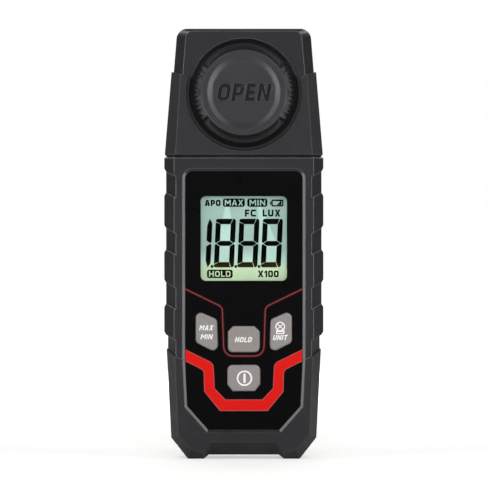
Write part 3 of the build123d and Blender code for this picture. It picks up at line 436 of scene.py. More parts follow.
@dataclass(frozen=True)
class DisplayCell(Finish):
    """Twisted-nematic display cell over a pale reflector, lit from its upper edge.

    The eye sees mint green with two paler fans under the lamps, and a yellower foot.
    """

    pale: str = "#aed1c5"
    foot: str = "#bbd3ad"
    glow: float = 0.12
    cloud_mm: float = 6.0
    fan_top_mm: float = 93.3
    # Left edge and its lean, right edge and its lean
    fans: Boxes = ((-7.0, -0.227, -5.35, 0.18), (5.2, 0.05, 6.7, 0.42))
    soft_mm: float = 0.35
    low_mm: tuple[float, float] = (74.5, 78.0)
    foot_mm: tuple[float, float] = (70.5, 74.5)

    def pattern(self, skin: Skin) -> None:
        """Add the fans of light, the paler low part and the tint of the foot."""
        height = skin.add("SeparateXYZ", (skin.place,), "Z")
        pale = skin.add("MapRange", (height, *metres(*self.low_mm), 1.0, 0.0))
        for left, left_lean, right, right_lean in self.fans:
            sides = []
            for start, lean, ends in ((left, left_lean, (0.0, 1.0)), (right, right_lean, (1.0, 0.0))):
                slope = (skin.place, (1.0, 0.0, lean))
                across = skin.add("VectorMath", slope, "Value", operation="DOT_PRODUCT")
                edge = start + lean * self.fan_top_mm
                limits = metres(edge - self.soft_mm, edge + self.soft_mm)
                sides.append(skin.add("MapRange", (across, *limits, *ends)))
            fan = skin.add("Math", sides, operation="MULTIPLY")
            pale = skin.add("Math", (pale, fan), operation="MAXIMUM")
        cloud = skin.add("TexNoise", (skin.place, 0.0, per_mm(self.cloud_mm), 2.0, 0.5))
        even = skin.add("MapRange", (cloud, *MIDDLE, 0.75, 1.0))
        skin.tone(skin.add("Math", (pale, even), operation="MULTIPLY"), self.colour, self.pale)
        skin.blend(skin.add("MapRange", (height, *metres(*self.foot_mm), 1.0, 0.0)), self.foot)
        skin.feed("Emission Color", skin.fed("Base Color"))
        skin.feed("Emission Strength", self.glow)


@dataclass(frozen=True)
class DisplayInk(Finish):
    """Dark segments of the display, browner at the foot, where the light leaks under them."""

    brown: str = "#33290f"
    rise_mm: tuple[float, float] = (70.4, 71.0)
    fade_mm: tuple[float, float] = (71.0, 74.5)

    def pattern(self, skin: Skin) -> None:
        """Shade the segments from black to brown at the feet of the digits."""
        height = skin.add("SeparateXYZ", (skin.place,), "Z")
        ends = (skin.add("MapRange", (height, *metres(*self.rise_mm), 0.15, 1.0)),
                skin.add("MapRange", (height, *metres(*self.fade_mm), 1.0, 0.0)))
        skin.tone(skin.add("Math", ends, operation="MULTIPLY"), self.colour, self.brown)


@dataclass(frozen=True)
class ScreenInk(Finish):
    """Opaque ink laid by silk screen, dense with a barely uneven film."""

    weave_mm: float = 0.4
    depth_mm: float = 0.004

    def pattern(self, skin: Skin) -> None:
        """Add the weave of the screen to the ink's gloss and height."""
        weave = skin.add("TexNoise", (skin.place, 0.0, per_mm(self.weave_mm), 2.0, 0.5))
        self.vary(skin, weave, -0.05, 0.08)
        bump = {"Strength": 0.3, "Distance": self.depth_mm * MM, "Height": weave}
        skin.feed("Normal", skin.add("Bump", bump))


@dataclass(frozen=True)
class PlatedMetal(Finish):
    """Turned, drawn or rolled metal with a plated or plain surface.

    The eye sees fine lines along one direction and a clouded, uneven plating.
    """

    cloud: str = "#8d8d8b"
    lines: Vector = field(default_factory=lambda: Vector((1.0, 1.0, 12.0)))
    line_mm: float = 1.0
    cloud_mm: float = 2.5
    depth_mm: float = 0.01
    edge_mm: float = 0.08

    def pattern(self, skin: Skin) -> None:
        """Add the tool lines and the clouded plating."""
        skin.feed("Metallic", 1.0)
        along = skin.add("Mapping", {"Vector": skin.place, "Scale": self.lines})
        lines = skin.add("TexNoise", (along, 0.0, per_mm(self.line_mm), 3.0, 0.6))
        skin.relief(lines, self.depth_mm, self.edge_mm)
        clouds = skin.add("TexNoise", (skin.place, 0.0, per_mm(self.cloud_mm), 3.0, 0.6))
        skin.tone(clouds, self.colour, self.cloud)
        self.vary(skin, lines, -0.08, 0.1)


@dataclass(frozen=True)
class EpoxyBoard(Finish):
    """Glass-fibre board under green solder resist, with copper tracks that show through as paler lines."""

    track: str = "#2c8a4a"
    pitch_mm: float = 2.54
    depth_mm: float = 0.03
    edge_mm: float = 0.1

    def pattern(self, skin: Skin) -> None:
        """Draw tracks as the walls of square cells at the grid of the board."""
        field_colour, track = linear(self.colour), linear(self.track)
        walls = {"Vector": skin.place, "Scale": per_mm(self.pitch_mm) / 4, "Mortar Size": 0.03,
                 "Color1": field_colour, "Color2": field_colour, "Mortar": track}
        cells = skin.add("TexBrick", walls, "Color")
        skin.feed("Base Color", cells)
        skin.relief(cells.node.outputs["Fac"], self.depth_mm, self.edge_mm, 0.5)


@dataclass(frozen=True)
class CellJacket(Finish):
    """Printed film shrunk round a dry cell, with a copper band at the end with the button."""

    band: str = "#b06a35"
    # Height at which the jacket ends and the band starts
    border_mm: tuple[float, float] = (51.0, 51.2)
    upright: bool = True
    scuff_mm: float = 3.0

    def pattern(self, skin: Skin) -> None:
        """Place the band by height and print faint scuffs on the jacket."""
        height = skin.add("SeparateXYZ", (skin.place,), "Z")
        share = skin.add("MapRange", (height, *metres(*self.border_mm), 0.0, 1.0))
        skin.tone(share, *((self.colour, self.band) if self.upright else (self.band, self.colour)))
        scuffs = skin.add("TexNoise", (skin.place, 0.0, per_mm(self.scuff_mm), 4.0, 0.7))
        self.vary(skin, scuffs, -0.06, 0.12)
        skin.feed("Metallic", 0.5)


@dataclass(frozen=True)
class OpalDiffuser(Finish):
    """Opal polycarbonate that scatters light inside, so that its edges glow softly."""

    reach_mm: float = 1.5
    satin_mm: float = 0.5
    depth_mm: float = 0.006
    edge_mm: float = 0.3

    def pattern(self, skin: Skin) -> None:
        """Scatter light under the surface and add a satin texture."""
        skin.feed("Subsurface Weight", 0.35)
        skin.feed("Subsurface Radius", (1.0, 0.95, 0.9))
        skin.feed("Subsurface Scale", self.reach_mm * MM)
        satin = skin.add("TexNoise", (skin.place, 0.0, per_mm(self.satin_mm), 2.0, 0.5))
        skin.relief(satin, self.depth_mm, self.edge_mm)


@dataclass(frozen=True)
class StudioPaper(Finish):
    """Seamless pale paper under the meter, which the camera sees nearly white outside the shadow."""

    glow: float = 0.5
    near: float = 0.2
    far: float = 0.9

    def pattern(self, skin: Skin) -> None:
        """Lift the paper to white, more so far from the meter, for what the camera and glass see."""
        rays = skin.add("LightPath").node.outputs
        seen = skin.add("Math", (rays["Is Camera Ray"], rays["Is Transmission Ray"]), operation="MAXIMUM")
        length = skin.add("VectorMath", (skin.place,), "Value", operation="LENGTH")
        lift = skin.add("MapRange", (length, self.near, self.far, self.glow, 1.0))
        skin.feed("Emission Color", linear("#ffffff"))
        skin.feed("Emission Strength", skin.add("Math", (seen, lift), operation="MULTIPLY"))


# Spark-eroded polycarbonate blend: the eye sees a near-black charcoal with soft satin edges
SHELL = GrainedPlastic("grained_abs_charcoal", "#1f1d21", 0.35, 0.36)
FRONT = GrainedPlastic("grained_abs_front", "#1f1d21", 0.35, 0.36, bevel=PolishedBevel())
HEAD = HeadPlastic("grained_abs_head", "#201e22", 0.35, 0.36)
# Moulded with a smoother face than the case: a little paler, and brightest on its dished slope
CAP = CapPlastic("grained_abs_cap", "#2a282c", 0.34, 0.45, pale="#434146", edge_highlight="#4e4c51")
# Bottom of the cut letters: darker than the face round them
CAP_CUT = GrainedPlastic("polished_abs_cap", "#17161a", 0.4, 0.2, pale="#1f1e22", edge_mm=0.1)
# Slippery bearing plastic: a deep black with a faint oily sheen
RING = GrainedPlastic("grained_acetal_black", "#151416", 0.5, 0.4, pale="#2c2b2e", edge_mm=0.2)
# Overmoulded elastomer: dead matt charcoal, with painted highlight lines where its facets meet
SOFT = SoftElastomer("soft_touch_elastomer_grey", "#232124", 0.48, 0.25, edge_highlight="#625f65")
BUMPER = SoftElastomer("soft_touch_elastomer_bumper", "#232124", 0.48, 0.25, edge_highlight="#625f65",
                       bevel=PolishedBevel())
# Die-cut foam: a dull black that shows no gloss at all
FOAM = SoftElastomer("closed_cell_foam_black", "#101010", 0.9, 0.2, pale="#1c1c1c", bloom=0.05)
# Extruded lead: smooth black with a soft shine along it
LEAD = SoftElastomer("pvc_lead_black", "#111111", 0.5, 0.4, pale="#1e1e1e", bloom=0.0, edge_mm=0.1)
# Film printed black on its back: the eye sees a satin depth without grain
FILM = PrintedFilm("satin_polycarbonate_film_black", "#0a090b", 0.3, 0.05)
# Moulded silicone with a matt lacquer: warm light grey and powdery
KEY = SiliconeRubber("lacquered_silicone_grey", "#888180", 0.62, 0.3)
# Polished mould with a coat against glare: clear, only seen by its weak reflections
WINDOW = ClearMoulding("polished_acrylic_clear", "#ffffff", 0.02, 0.05, bend=1.18)
# Clear moulding that spreads the lamps' light: glassy with a green cast
GUIDE = ClearMoulding("moulded_light_guide_clear", "#f4fbf2", 0.12)
# Ground and polished filter glass: a pale green lens
FILTER = ClearMoulding("correcting_filter_glass", "#a5d0a0", 0.02, bend=1.53)
# Two sheets of glass with liquid crystal between them: a mint glow
CELL = DisplayCell("liquid_crystal_cell_mint", "#95b3aa", 0.3, 0.2)
# Crystal turned by the driven electrodes: near black
SEGMENT = DisplayInk("liquid_crystal_segment_dark", "#040605", 0.5, 0.0)
# Inks pressed through a mesh: flat colour with softly uneven edges and a faint weave
RED_INK = ScreenInk("screen_ink_signal_red", "#de150f", 0.4, 0.15)
RIM_INK = ScreenInk("screen_ink_dusty_red", "#b2504c", 0.4, 0.1)
LINE_INK = ScreenInk("screen_ink_dull_red", "#924a4b", 0.4, 0.1)
GLOW_INK = ScreenInk("screen_ink_dark_red", "#3d090b", 0.4, 0.1)
WHITE_INK = ScreenInk("screen_ink_white", "#f6f5f4", 0.45, 0.3)
# Rolled threads and stamped heads with a zinc coat: cool grey with a dull shine
STEEL = PlatedMetal("zinc_plated_steel", "#6c6c6e", 0.38)
# Stamped and wound spring steel with bright nickel: warm silver
NICKEL = PlatedMetal("nickel_plated_spring_steel", "#b4b0a8", 0.25, cloud="#8f8c86")
# Turned and knurled: golden, slightly tarnished
BRASS = PlatedMetal("turned_brass", "#c89a4a", 0.28, cloud="#9d7430")
# Deep-drawn cans: pale silver
CAN = PlatedMetal("drawn_aluminium_can", "#bdbdc0", 0.25, cloud="#a2a2a6")
# Glass weave in epoxy under green lacquer: dark green with a shine
BOARD = EpoxyBoard("solder_resist_green", "#0f4d26", 0.35)
# Transfer-moulded packages: black and very finely rough
CHIP = GrainedPlastic("moulded_epoxy_black", "#0e0e0f", 0.55, 0.35,
                      pale="#242425", edge_mm=0.1, grain_mm=0.3)
# Undyed mouldings: creamy nylon, and acetal that is whiter and shinier
NYLON = GrainedPlastic("moulded_nylon_natural", "#cfcab8", 0.45, 0.4,
                       pale="#e4e0d2", edge_highlight="#e4e0d2", edge_mm=0.15)
ACETAL = GrainedPlastic("moulded_acetal_white", "#d6d6d2", 0.35, 0.5,
                        pale="#ebebe8", edge_highlight="#ebebe8", edge_mm=0.15)
# Cast resin over the lamps' chips: milky yellow
LAMP = GrainedPlastic("cast_resin_lamp_white", "#e6e3c8", 0.3, 0.5,
                      pale="#f4f2de", edge_highlight="#f4f2de", edge_mm=0.1)
# Silicon under clear resin: violet black and shiny
DIODE = GrainedPlastic("silicon_diode_resin", "#1c1424", 0.15, 0.6,
                       pale="#2c2236", edge_mm=0.1, depth_mm=0.002)
# Shrunk sleeves on steel cans: copper top over a black body
CELL_UP = CellJacket("cell_jacket_button_up", "#1b1c1f", 0.35)
CELL_DOWN = CellJacket("cell_jacket_button_down", "#1b1c1f", 0.35, border_mm=(30.0, 30.2), upright=False)
# Diffusing moulding: milky white with light deep in it
OPAL = OpalDiffuser("opal_polycarbonate_diffuser", "#e9e9e4", 0.4, 0.4)
# Wide roll of paper: nearly white, with the meter's soft shadow
PAPER = StudioPaper("seamless_paper_pale", "#ececea", 0.9, 0.1)


# Shared modelling steps


def add_object(name: str, data: bpy.types.ID) -> Piece:
    """Add an object with its data to the scene."""
    added = bpy.data.objects.new(name, data)
    bpy.context.scene.collection.objects.link(added)
    return added


def pick(*objects: Piece) -> None:
    """Select only these objects and make the first one active."""
    bpy.ops.object.select_all(action="DESELECT")
    for chosen in objects:
        chosen.select_set(True)
    bpy.context.view_layer.objects.active = objects[0]


def weld(piece: Piece) -> None:
    """Merge the piece's doubled points and turn its faces outwards."""
    pick(piece)
    bpy.ops.object.mode_set(mode="EDIT")
    bpy.ops.mesh.select_all(action="SELECT")
    bpy.ops.mesh.remove_doubles(threshold=MERGE)
    bpy.ops.mesh.normals_make_consistent(inside=False)
    bpy.ops.object.mode_set(mode="OBJECT")


def join(name: str, pieces: Sequence[Piece]) -> Piece:
    """Join pieces that are one in the real meter.

    Args:
        name: Name of the joined piece.
        pieces: Pieces in place.

    Returns:
        The joined piece.
    """
    pick(*pieces)
    if len(pieces) > 1:
        bpy.ops.object.join()
    joined = bpy.context.view_layer.objects.active
    joined.name = joined.data.name = name
    return joined


def hand_over(piece: Piece, finish: Optional[Finish], ride: Ride) -> None:
    """Dress a new piece and let it ride on its body.

    Args:
        piece: Finished piece, with its place in its mesh.
        finish: What its surface is made of, or None where it is dressed already.
        ride: Body that it moves with.
    """
    if finish:
        piece.data.materials.clear()
        piece.data.materials.append(finish.material())
    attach(piece, ride.value)
    log.info("made %s, %d faces, on %s", piece.name, len(piece.data.polygons), ride.value)


def dress(finish: Finish, *nodes: str) -> None:
    """Give CAD nodes a finish without touching their shapes.

    Args:
        finish: What their surfaces are made of.
        nodes: Names of the nodes.
    """
    for name in nodes:
        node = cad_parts[name]
        if not node.material_slots:
            node.data.materials.append(finish.material())
        for slot in node.material_slots:
            slot.material = finish.material()
    log.info("dressed %s in %s", ", ".join(nodes), finish.name)


def mirrored(outline: Sequence[Point]) -> Outline:
    """Give the mirror image of an outline across the middle of the meter, in the opposite order."""
    return [(-x, z) for x, z in reversed(outline)]


def rounded(outline: Sequence[Point], radii: Union[float, Mapping[int, float]], steps: int = 6) -> Outline:
    """Round corners of a closed outline or bends of an open line.

    Args:
        outline: Points in order.
        radii: One radius for all corners, or the numbers of the corners to round with their radii.
        steps: Straight runs in each arc.

    Returns:
        The points with each of those corners replaced by an arc.
    """
    result: Outline = []
    chosen = radii if isinstance(radii, Mapping) else dict.fromkeys(range(len(outline)), radii)
    for index, corner in enumerate(outline):
        if index not in chosen:
            result.append(corner)
            continue
        here = Vector(corner)
        back = (Vector(outline[index - 1]) - here).normalized()
        ahead = (Vector(outline[(index + 1) % len(outline)]) - here).normalized()
        half = back.angle(ahead) / 2
        centre = here + (back + ahead).normalized() * (chosen[index] / math.sin(half))
        first = here + back * (chosen[index] / math.tan(half)) - centre
        sweep = first.angle_signed(here + ahead * (chosen[index] / math.tan(half)) - centre)
        for step in range(steps + 1):
            arm = first.copy()
            arm.rotate(Matrix.Rotation(-sweep * step / steps, 2))
            result.append(tuple(centre + arm))
    return result


def ribbon(line: Sequence[Point], width: float) -> Outline:
    """Closed outline of an even stroke along an open line.

    Args:
        line: Points of the line's middle.
        width: Width of the stroke.

    Returns:
        The points of both sides, in order round the stroke.
    """
    sides: tuple[Outline, Outline] = ([], [])
    for index, point in enumerate(line):
        here = Vector(point)
        back = (here - Vector(line[index - 1])).normalized() if index else None
        ahead = (Vector(line[index + 1]) - here).normalized() if index + 1 < len(line) else None
        run = ((back or ahead) + (ahead or back)).normalized()
        reach = width / 2 / max(run.dot(ahead or back), SHARPEST)
        normal = Vector((-run.y, run.x)) * reach
        sides[0].append(tuple(here + normal))
        sides[1].append(tuple(here - normal))
    return sides[0] + sides[1][::-1]


def circle(x: float, z: float, radius: float, points: int = 48) -> Outline:
    """Outline of a circle in the front view, round a middle across the meter and above the ground."""
    turns = [2 * math.pi * index / points for index in range(points)]
    return [(x + radius * math.cos(turn), z + radius * math.sin(turn)) for turn in turns]


def plate(x: float, z: float, width: float, height: float, corner: float) -> Outline:
    """Outline of a rectangle with round corners, round a middle across the meter and above the ground."""
    right, top, left, low = x + width / 2, z + height / 2, x - width / 2, z - height / 2
    return rounded([(right, top), (left, top), (left, low), (right, low)], corner)


def flat_piece(name: str, outlines: Sequence[Outline], front: float, thickness: float) -> Piece:
    """Make a thin piece from closed outlines of the front view. An outline inside another is a hole.

    Args:
        name: Name of the piece.
        outlines: Closed outlines in millimetres.
        front: Y of the surface that it lies on.
        thickness: Thickness of the piece.

    Returns:
        The piece, with its place in its mesh.
    """
    curve = bpy.data.curves.new(name, "CURVE")
    curve.dimensions, curve.fill_mode, curve.extrude = "2D", "BOTH", thickness / 2 * MM
    for outline in outlines:
        spline = curve.splines.new("POLY")
        spline.points.add(len(outline) - 1)
        for point, (x, z) in zip(spline.points, outline):
            point.co = (x * MM, z * MM, 0, 1)
        spline.use_cyclic_u = True
    piece = add_object(name, curve)
    pick(piece)
    bpy.ops.object.convert(target="MESH")
    piece.rotation_euler = (math.pi / 2, 0, 0)
    piece.location = (0, (front - thickness / 2) * MM, 0)
    bpy.ops.object.transform_apply(location=True, rotation=True, scale=True)
    weld(piece)
    return piece


@dataclass(frozen=True)
class Lettering:
    """A word in bold plain capitals that fills a box of the front view. Millimetres."""

    text: str
    x: float
    z: float
    width: float
    height: float
    slant: float = 0.0
    bold: float = 0.2
    gap: float = 0.12
    widths: str = "M 0.86 A 0.74 X 0.70 N 0.70 H 0.68 O 0.70 L 0.52 D 0.68 " \
                  "U 0.68 T 0.62 P 0.64 E 0.56 F 0.54 C 0.66 0 0.60 1 0.36"

    def shapes(self, letter: str, wide: float) -> list[Outline]:
        """Outlines of one letter of height one. An outline inside another is a hole.

        Args:
            letter: One of the letters that have a width.
            wide: Its width.

        Returns:
            Closed outlines with their lower left corner at zero.
        """
        # Stroke, width and middle, which the outlines below are drawn from
        s, w, m = self.bold, wide, wide / 2
        if letter == "I":
            return [[(0, 0), (s, 0), (s, 1), (0, 1)]]
        low, high, inner, top = (1 - s) / 2, (1 + s) / 2, w - s, 1 - s
        foot, side = s * 1.25, s * 0.65

        def leg(z: float) -> float:
            """Place of the inner edge of the left leg of an A."""
            return foot + (m - foot) * z / 0.84

        def bowl(left: float, floor: float, roof: float, corners: Sequence[int], radius: float) -> Outline:
            """Rectangle with some round corners, counted from the lower left, anticlockwise."""
            right = inner if left else w
            return rounded([(left, floor), (right, floor), (right, roof), (left, roof)],
                           dict.fromkeys(corners, radius))

        every, round_out = (0, 1, 2, 3), min(0.3, m * 0.9)
        round_in = max(0.03, min(round_out - s * 0.7, (m - s) * 0.9))
        forms: dict[str, list[Outline]] = {
            "1": [[(inner, 0), (w, 0), (w, 1), (w - s * 0.8, 1), (0, 0.8), (0, 0.8 - s),
                   (inner, 0.98 - s)]],
            "L": [[(0, 0), (w, 0), (w, s), (s, s), (s, 1), (0, 1)]],
            "T": [[(m - s / 2, 0), (m + s / 2, 0), (m + s / 2, top), (w, top), (w, 1), (0, 1), (0, top),
                   (m - s / 2, top)]],
            "H": [[(0, 0), (s, 0), (s, low), (inner, low), (inner, 0), (w, 0), (w, 1), (inner, 1),
                   (inner, high), (s, high), (s, 1), (0, 1)]],
            "E": [[(0, 0), (w, 0), (w, s), (s, s), (s, low), (w * 0.93, low), (w * 0.93, high),
                   (s, high), (s, top), (w, top), (w, 1), (0, 1)]],
            "F": [[(0, 0), (s, 0), (s, low - 0.04), (w * 0.9, low - 0.04), (w * 0.9, high - 0.04),
                   (s, high - 0.04), (s, top), (w, top), (w, 1), (0, 1)]],
            "N": [[(0, 0), (s, 0), (s, 0.64), (inner, 0), (w, 0), (w, 1), (inner, 1), (inner, 0.36),
                   (s, 1), (0, 1)]],
            "M": [[(0, 0), (s, 0), (s, 0.66), (m - s * 0.25, 0.26), (m + s * 0.25, 0.26), (inner, 0.66),
                   (inner, 0), (w, 0), (w, 1), (w - s * 1.15, 1), (m, 0.56), (s * 1.15, 1), (0, 1)]],
            "X": [[(0, 0), (foot, 0), (m, 0.34), (w - foot, 0), (w, 0), (m + side, 0.5), (w, 1),
                   (w - foot, 1), (m, 0.66), (foot, 1), (0, 1), (m - side, 0.5)]],
            "A": [[(0, 0), (s * 1.1, 0), (leg(0.2), 0.2), (w - leg(0.2), 0.2), (w - s * 1.1, 0), (w, 0),
                   (m + s * 0.7, 1), (m - s * 0.7, 1)],
                  [(leg(0.38), 0.38), (w - leg(0.38), 0.38), (m, 0.8)]],
            "O": [bowl(0, 0, 1, every, round_out), bowl(s, s, top, every, round_in)],
            "0": [bowl(0, 0, 1, every, round_out * 0.9), bowl(s, s, top, every, round_in * 0.8)],
            "D": [bowl(0, 0, 1, (1, 2), round_out), bowl(s, s, top, (1, 2), round_in)],
            "P": [rounded([(0, 0), (s, 0), (s, low - 0.08), (w, low - 0.08), (w, 1), (0, 1)],
                          {3: 0.26, 4: 0.26}),
                  bowl(s, high - 0.12, top, (1, 2), 0.09)],
            "U": [rounded([(0, 0), (w, 0), (w, 1), (inner, 1), (inner, s), (s, s), (s, 1), (0, 1)],
                          {0: round_out, 1: round_out, 4: round_in, 5: round_in})],
            "C": [rounded([(0, 0), (w, 0), (w, s), (s, s), (s, top), (w, top), (w, 1), (0, 1)],
                          {0: round_out, 3: round_in, 4: round_in, 7: round_out})],
        }
        return forms[letter]

    def outlines(self) -> list[Outline]:
        """Outlines of the whole word in its box.

        Returns:
            Closed outlines in place.
        """
        words = self.widths.split()
        natural = dict(zip(words[::2], map(float, words[1::2])))
        free = [natural[letter] for letter in self.text if letter != "I"]
        upright = self.bold * self.text.count("I")
        room = self.width / self.height - self.slant - self.gap * (len(self.text) - 1) - upright
        start, result = 0.0, []
        for letter in self.text:
            wide = self.bold if letter == "I" else natural[letter] * room / sum(free)
            for shape in self.shapes(letter, wide):
                result.append([
                    (self.x - self.width / 2 + (start + x + z * self.slant) * self.height,
                     self.z + (z - 0.5) * self.height) for x, z in shape
                ])
            start += wide + self.gap
        return result


# Sub-assemblies


@dataclass
class Case:
    """Hard shells, soft pieces and screws, all carried over from the CAD model."""

    hard: tuple[str, ...] = ("back_shell", "head_back_shell", "battery_door")
    screws: tuple[str, ...] = (
        "case_screws", "head_screws", "door_screws", "board_screws", "sensor_board_screws",
    )

    def build(self) -> None:
        """Dress the case."""
        dress(SHELL, *self.hard)
        dress(FRONT, "front_shell")
        dress(HEAD, "head_front_shell")
        dress(SOFT, "head_collar")
        dress(BUMPER, "bumper")
        dress(STEEL, *self.screws)
        dress(BRASS, "door_inserts")


@dataclass
class Overlay:
    """Printed film on the front, with its bold red band and thin line round the keys. Millimetres."""

    surface: float = -13.4
    ink: float = 0.02
    core_width: float = 0.27
    glow_width: float = 1.1
    rim_width: float = 0.28
    line: tuple[Point, ...] = ((21.65, 63.16), (7.99, 56.55), (7.36, 38.35), (0.0, 38.35))
    line_bends: tuple[float, float] = (2.45, 3.5)
    band_inner: tuple[Point, ...] = (
        (21.65, 40.68), (11.35, 35.63), (10.9, 26.34), (6.9, 22.14), (0.0, 22.14),
    )
    band_outer: tuple[Point, ...] = (
        (21.6, 36.51), (14.79, 33.08), (14.61, 25.26), (8.82, 18.11), (0.0, 18.11),
    )
    band_bends: tuple[float, float] = (2.6, 2.05)

    def build(self) -> None:
        """Dress the film and lay the red inks on it."""
        dress(FILM, "overlay_panel")
        inner = rounded(self.band_inner, {1: self.band_bends[0]})
        outer = rounded(self.band_outer, {1: self.band_bends[1]})
        edges = [side[:-1] + mirrored(side[:-1]) for side in (inner, outer)]
        line = rounded(self.line, dict(enumerate(self.line_bends, 1)))
        middle = line[:-1] + mirrored(line[:-1])
        prints = (
            ("red_band", [edges[0] + edges[1][::-1]], RED_INK, 1),
            ("red_band_rims", [ribbon(edge, self.rim_width) for edge in edges], RIM_INK, 2),
            ("red_line_glow", [ribbon(middle, self.glow_width)], GLOW_INK, 1),
            ("red_line_core", [ribbon(middle, self.core_width)], LINE_INK, 2),
        )
        for name, outlines, finish, layers in prints:
            piece = flat_piece(name, outlines, self.surface, self.ink * layers)
            hand_over(piece, finish, Ride.BODY)


@dataclass
class Display:
    """Window, display cell and all that its segments can show. Millimetres."""

    surface: float = -10.2
    film: float = 0.03
    foot: float = 71.21
    height: float = 18.07
    width: float = 7.5
    stroke: float = 1.9
    bar_stroke: float = 2.0
    gap: float = 0.27
    # The digits' waist lies this much below their middle
    sag: float = 0.15
    mitre: float = 1.15
    bend: float = 0.95
    point: float = 0.45
    slant: float = 0.046
    lefts: tuple[float, ...] = (-19.93, -11.2, -2.48, 6.24)
    dot_radius: float = 0.56
    dots: tuple[Point, ...] = ((-11.78, 71.56), (-2.98, 71.56), (5.65, 71.56))
    badges: Boxes = (
        (-3.69, 95.26, 8.2, 3.1), (5.0, 95.26, 7.5, 3.1), (-8.9, 68.8, 9.55, 3.13),
    )
    badge_corner: float = 0.85
    words: tuple[Lettering, ...] = (
        Lettering("MAX", -3.67, 95.26, 6.8, 2.1, 0.0, 0.2, 0.2),
        Lettering("MIN", 5.05, 95.26, 5.8, 2.1, 0.0, 0.2, 0.24),
        Lettering("HOLD", -8.92, 68.8, 8.0, 2.15, 0.0, 0.2, 0.2),
        Lettering("APO", -11.55, 95.14, 5.9, 2.3, 0.0, 0.27),
        Lettering("FC", 2.47, 91.4, 4.15, 2.6, 0.0, 0.25, 0.18),
        Lettering("LUX", 10.28, 91.4, 6.6, 2.6, 0.0, 0.25, 0.18),
        Lettering("X100", 9.08, 68.8, 7.8, 2.5, 0.0, 0.25),
    )
    battery_body: tuple[float, ...] = (12.48, 95.12, 4.5, 2.6, 0.5)
    battery_hollow: tuple[float, ...] = (12.48, 95.12, 3.45, 1.55, 0.2)
    battery_button: tuple[float, ...] = (9.98, 95.12, 0.4, 1.3, 0.15)
    battery_rest: tuple[Point, ...] = ((12.3, 94.4), (13.95, 94.4), (13.95, 95.9), (13.6, 95.75))

    def digit(self, index: int) -> list[Outline]:
        """Outlines of the segments of one digit, the first of which is only a one.

        Args:
            index: Place of the digit from the left.

        Returns:
            Closed outlines, slanted and in place.
        """
        wide, high, thick, gap, mitre = self.width, self.height, self.stroke, self.gap, self.mitre
        middle, inner = high / 2, wide - thick
        knee = [(self.point, middle + gap / 2), (0.0, middle + gap / 2 + self.point)]
        right = rounded([
            (inner, middle + thick / 2 + gap / 2), (wide - self.point, middle + gap / 2),
            (wide, middle + gap / 2 + self.point), (wide, high), (wide - mitre + gap / 2, high),
            (inner, high - thick - gap / 2),
        ], {3: self.bend}, 4)
        one = right[:3]
        one += [(wide, high - thick * 0.85), (wide - thick * 0.55, high), (inner, high - thick * 1.35)]
        flank = [(thick, middle + thick / 2 + gap / 2), *knee, (0.0, high - mitre - gap / 2),
                (thick, high - thick - gap / 2)]
        bar = rounded([(0.0, high - mitre + gap / 2), (0.0, high), (wide - mitre - gap / 2, high),
                       (inner - gap / 4, high - self.bar_stroke), (thick, high - self.bar_stroke)],
                      {1: self.bend * 0.9}, 4)
        cross = [(self.point + gap / 2, middle), (thick + gap / 4, middle + self.bar_stroke / 2 - gap / 4)]
        cross += [(wide - x, z) for x, z in cross[::-1]]
        cross += [(x, high - z) for x, z in cross[2:0:-1]]
        halves = [right, flank, bar] if index else [one]
        shapes = halves + [[(x, high - z) for x, z in shape] for shape in halves]
        shapes += [cross] if index else []
        left, foot, sag = self.lefts[index], self.foot, self.sag
        return [[(left + x + z * self.slant, foot + z - sag * (1 - abs(z / middle - 1))) for x, z in shape]
                for shape in shapes]

    def build(self) -> None:
        """Dress the window and the cell, and make the segments and words."""
        dress(WINDOW, "display_window")
        dress(CELL, "lcd_glass")
        dress(FOAM, "lcd_gasket", "zebra_strip")
        outlines = [shape for index in range(len(self.lefts)) for shape in self.digit(index)]
        outlines += [circle(x, z, self.dot_radius, 24) for x, z in self.dots]
        outlines += [plate(*badge, self.badge_corner) for badge in self.badges]
        outlines += [plate(*box) for box in (self.battery_body, self.battery_hollow, self.battery_button)]
        outlines += [list(self.battery_rest)] + [shape for word in self.words for shape in word.outlines()]
        piece = flat_piece("display_segments", outlines, self.surface, self.film)
        hand_over(piece, SEGMENT, Ride.BODY)


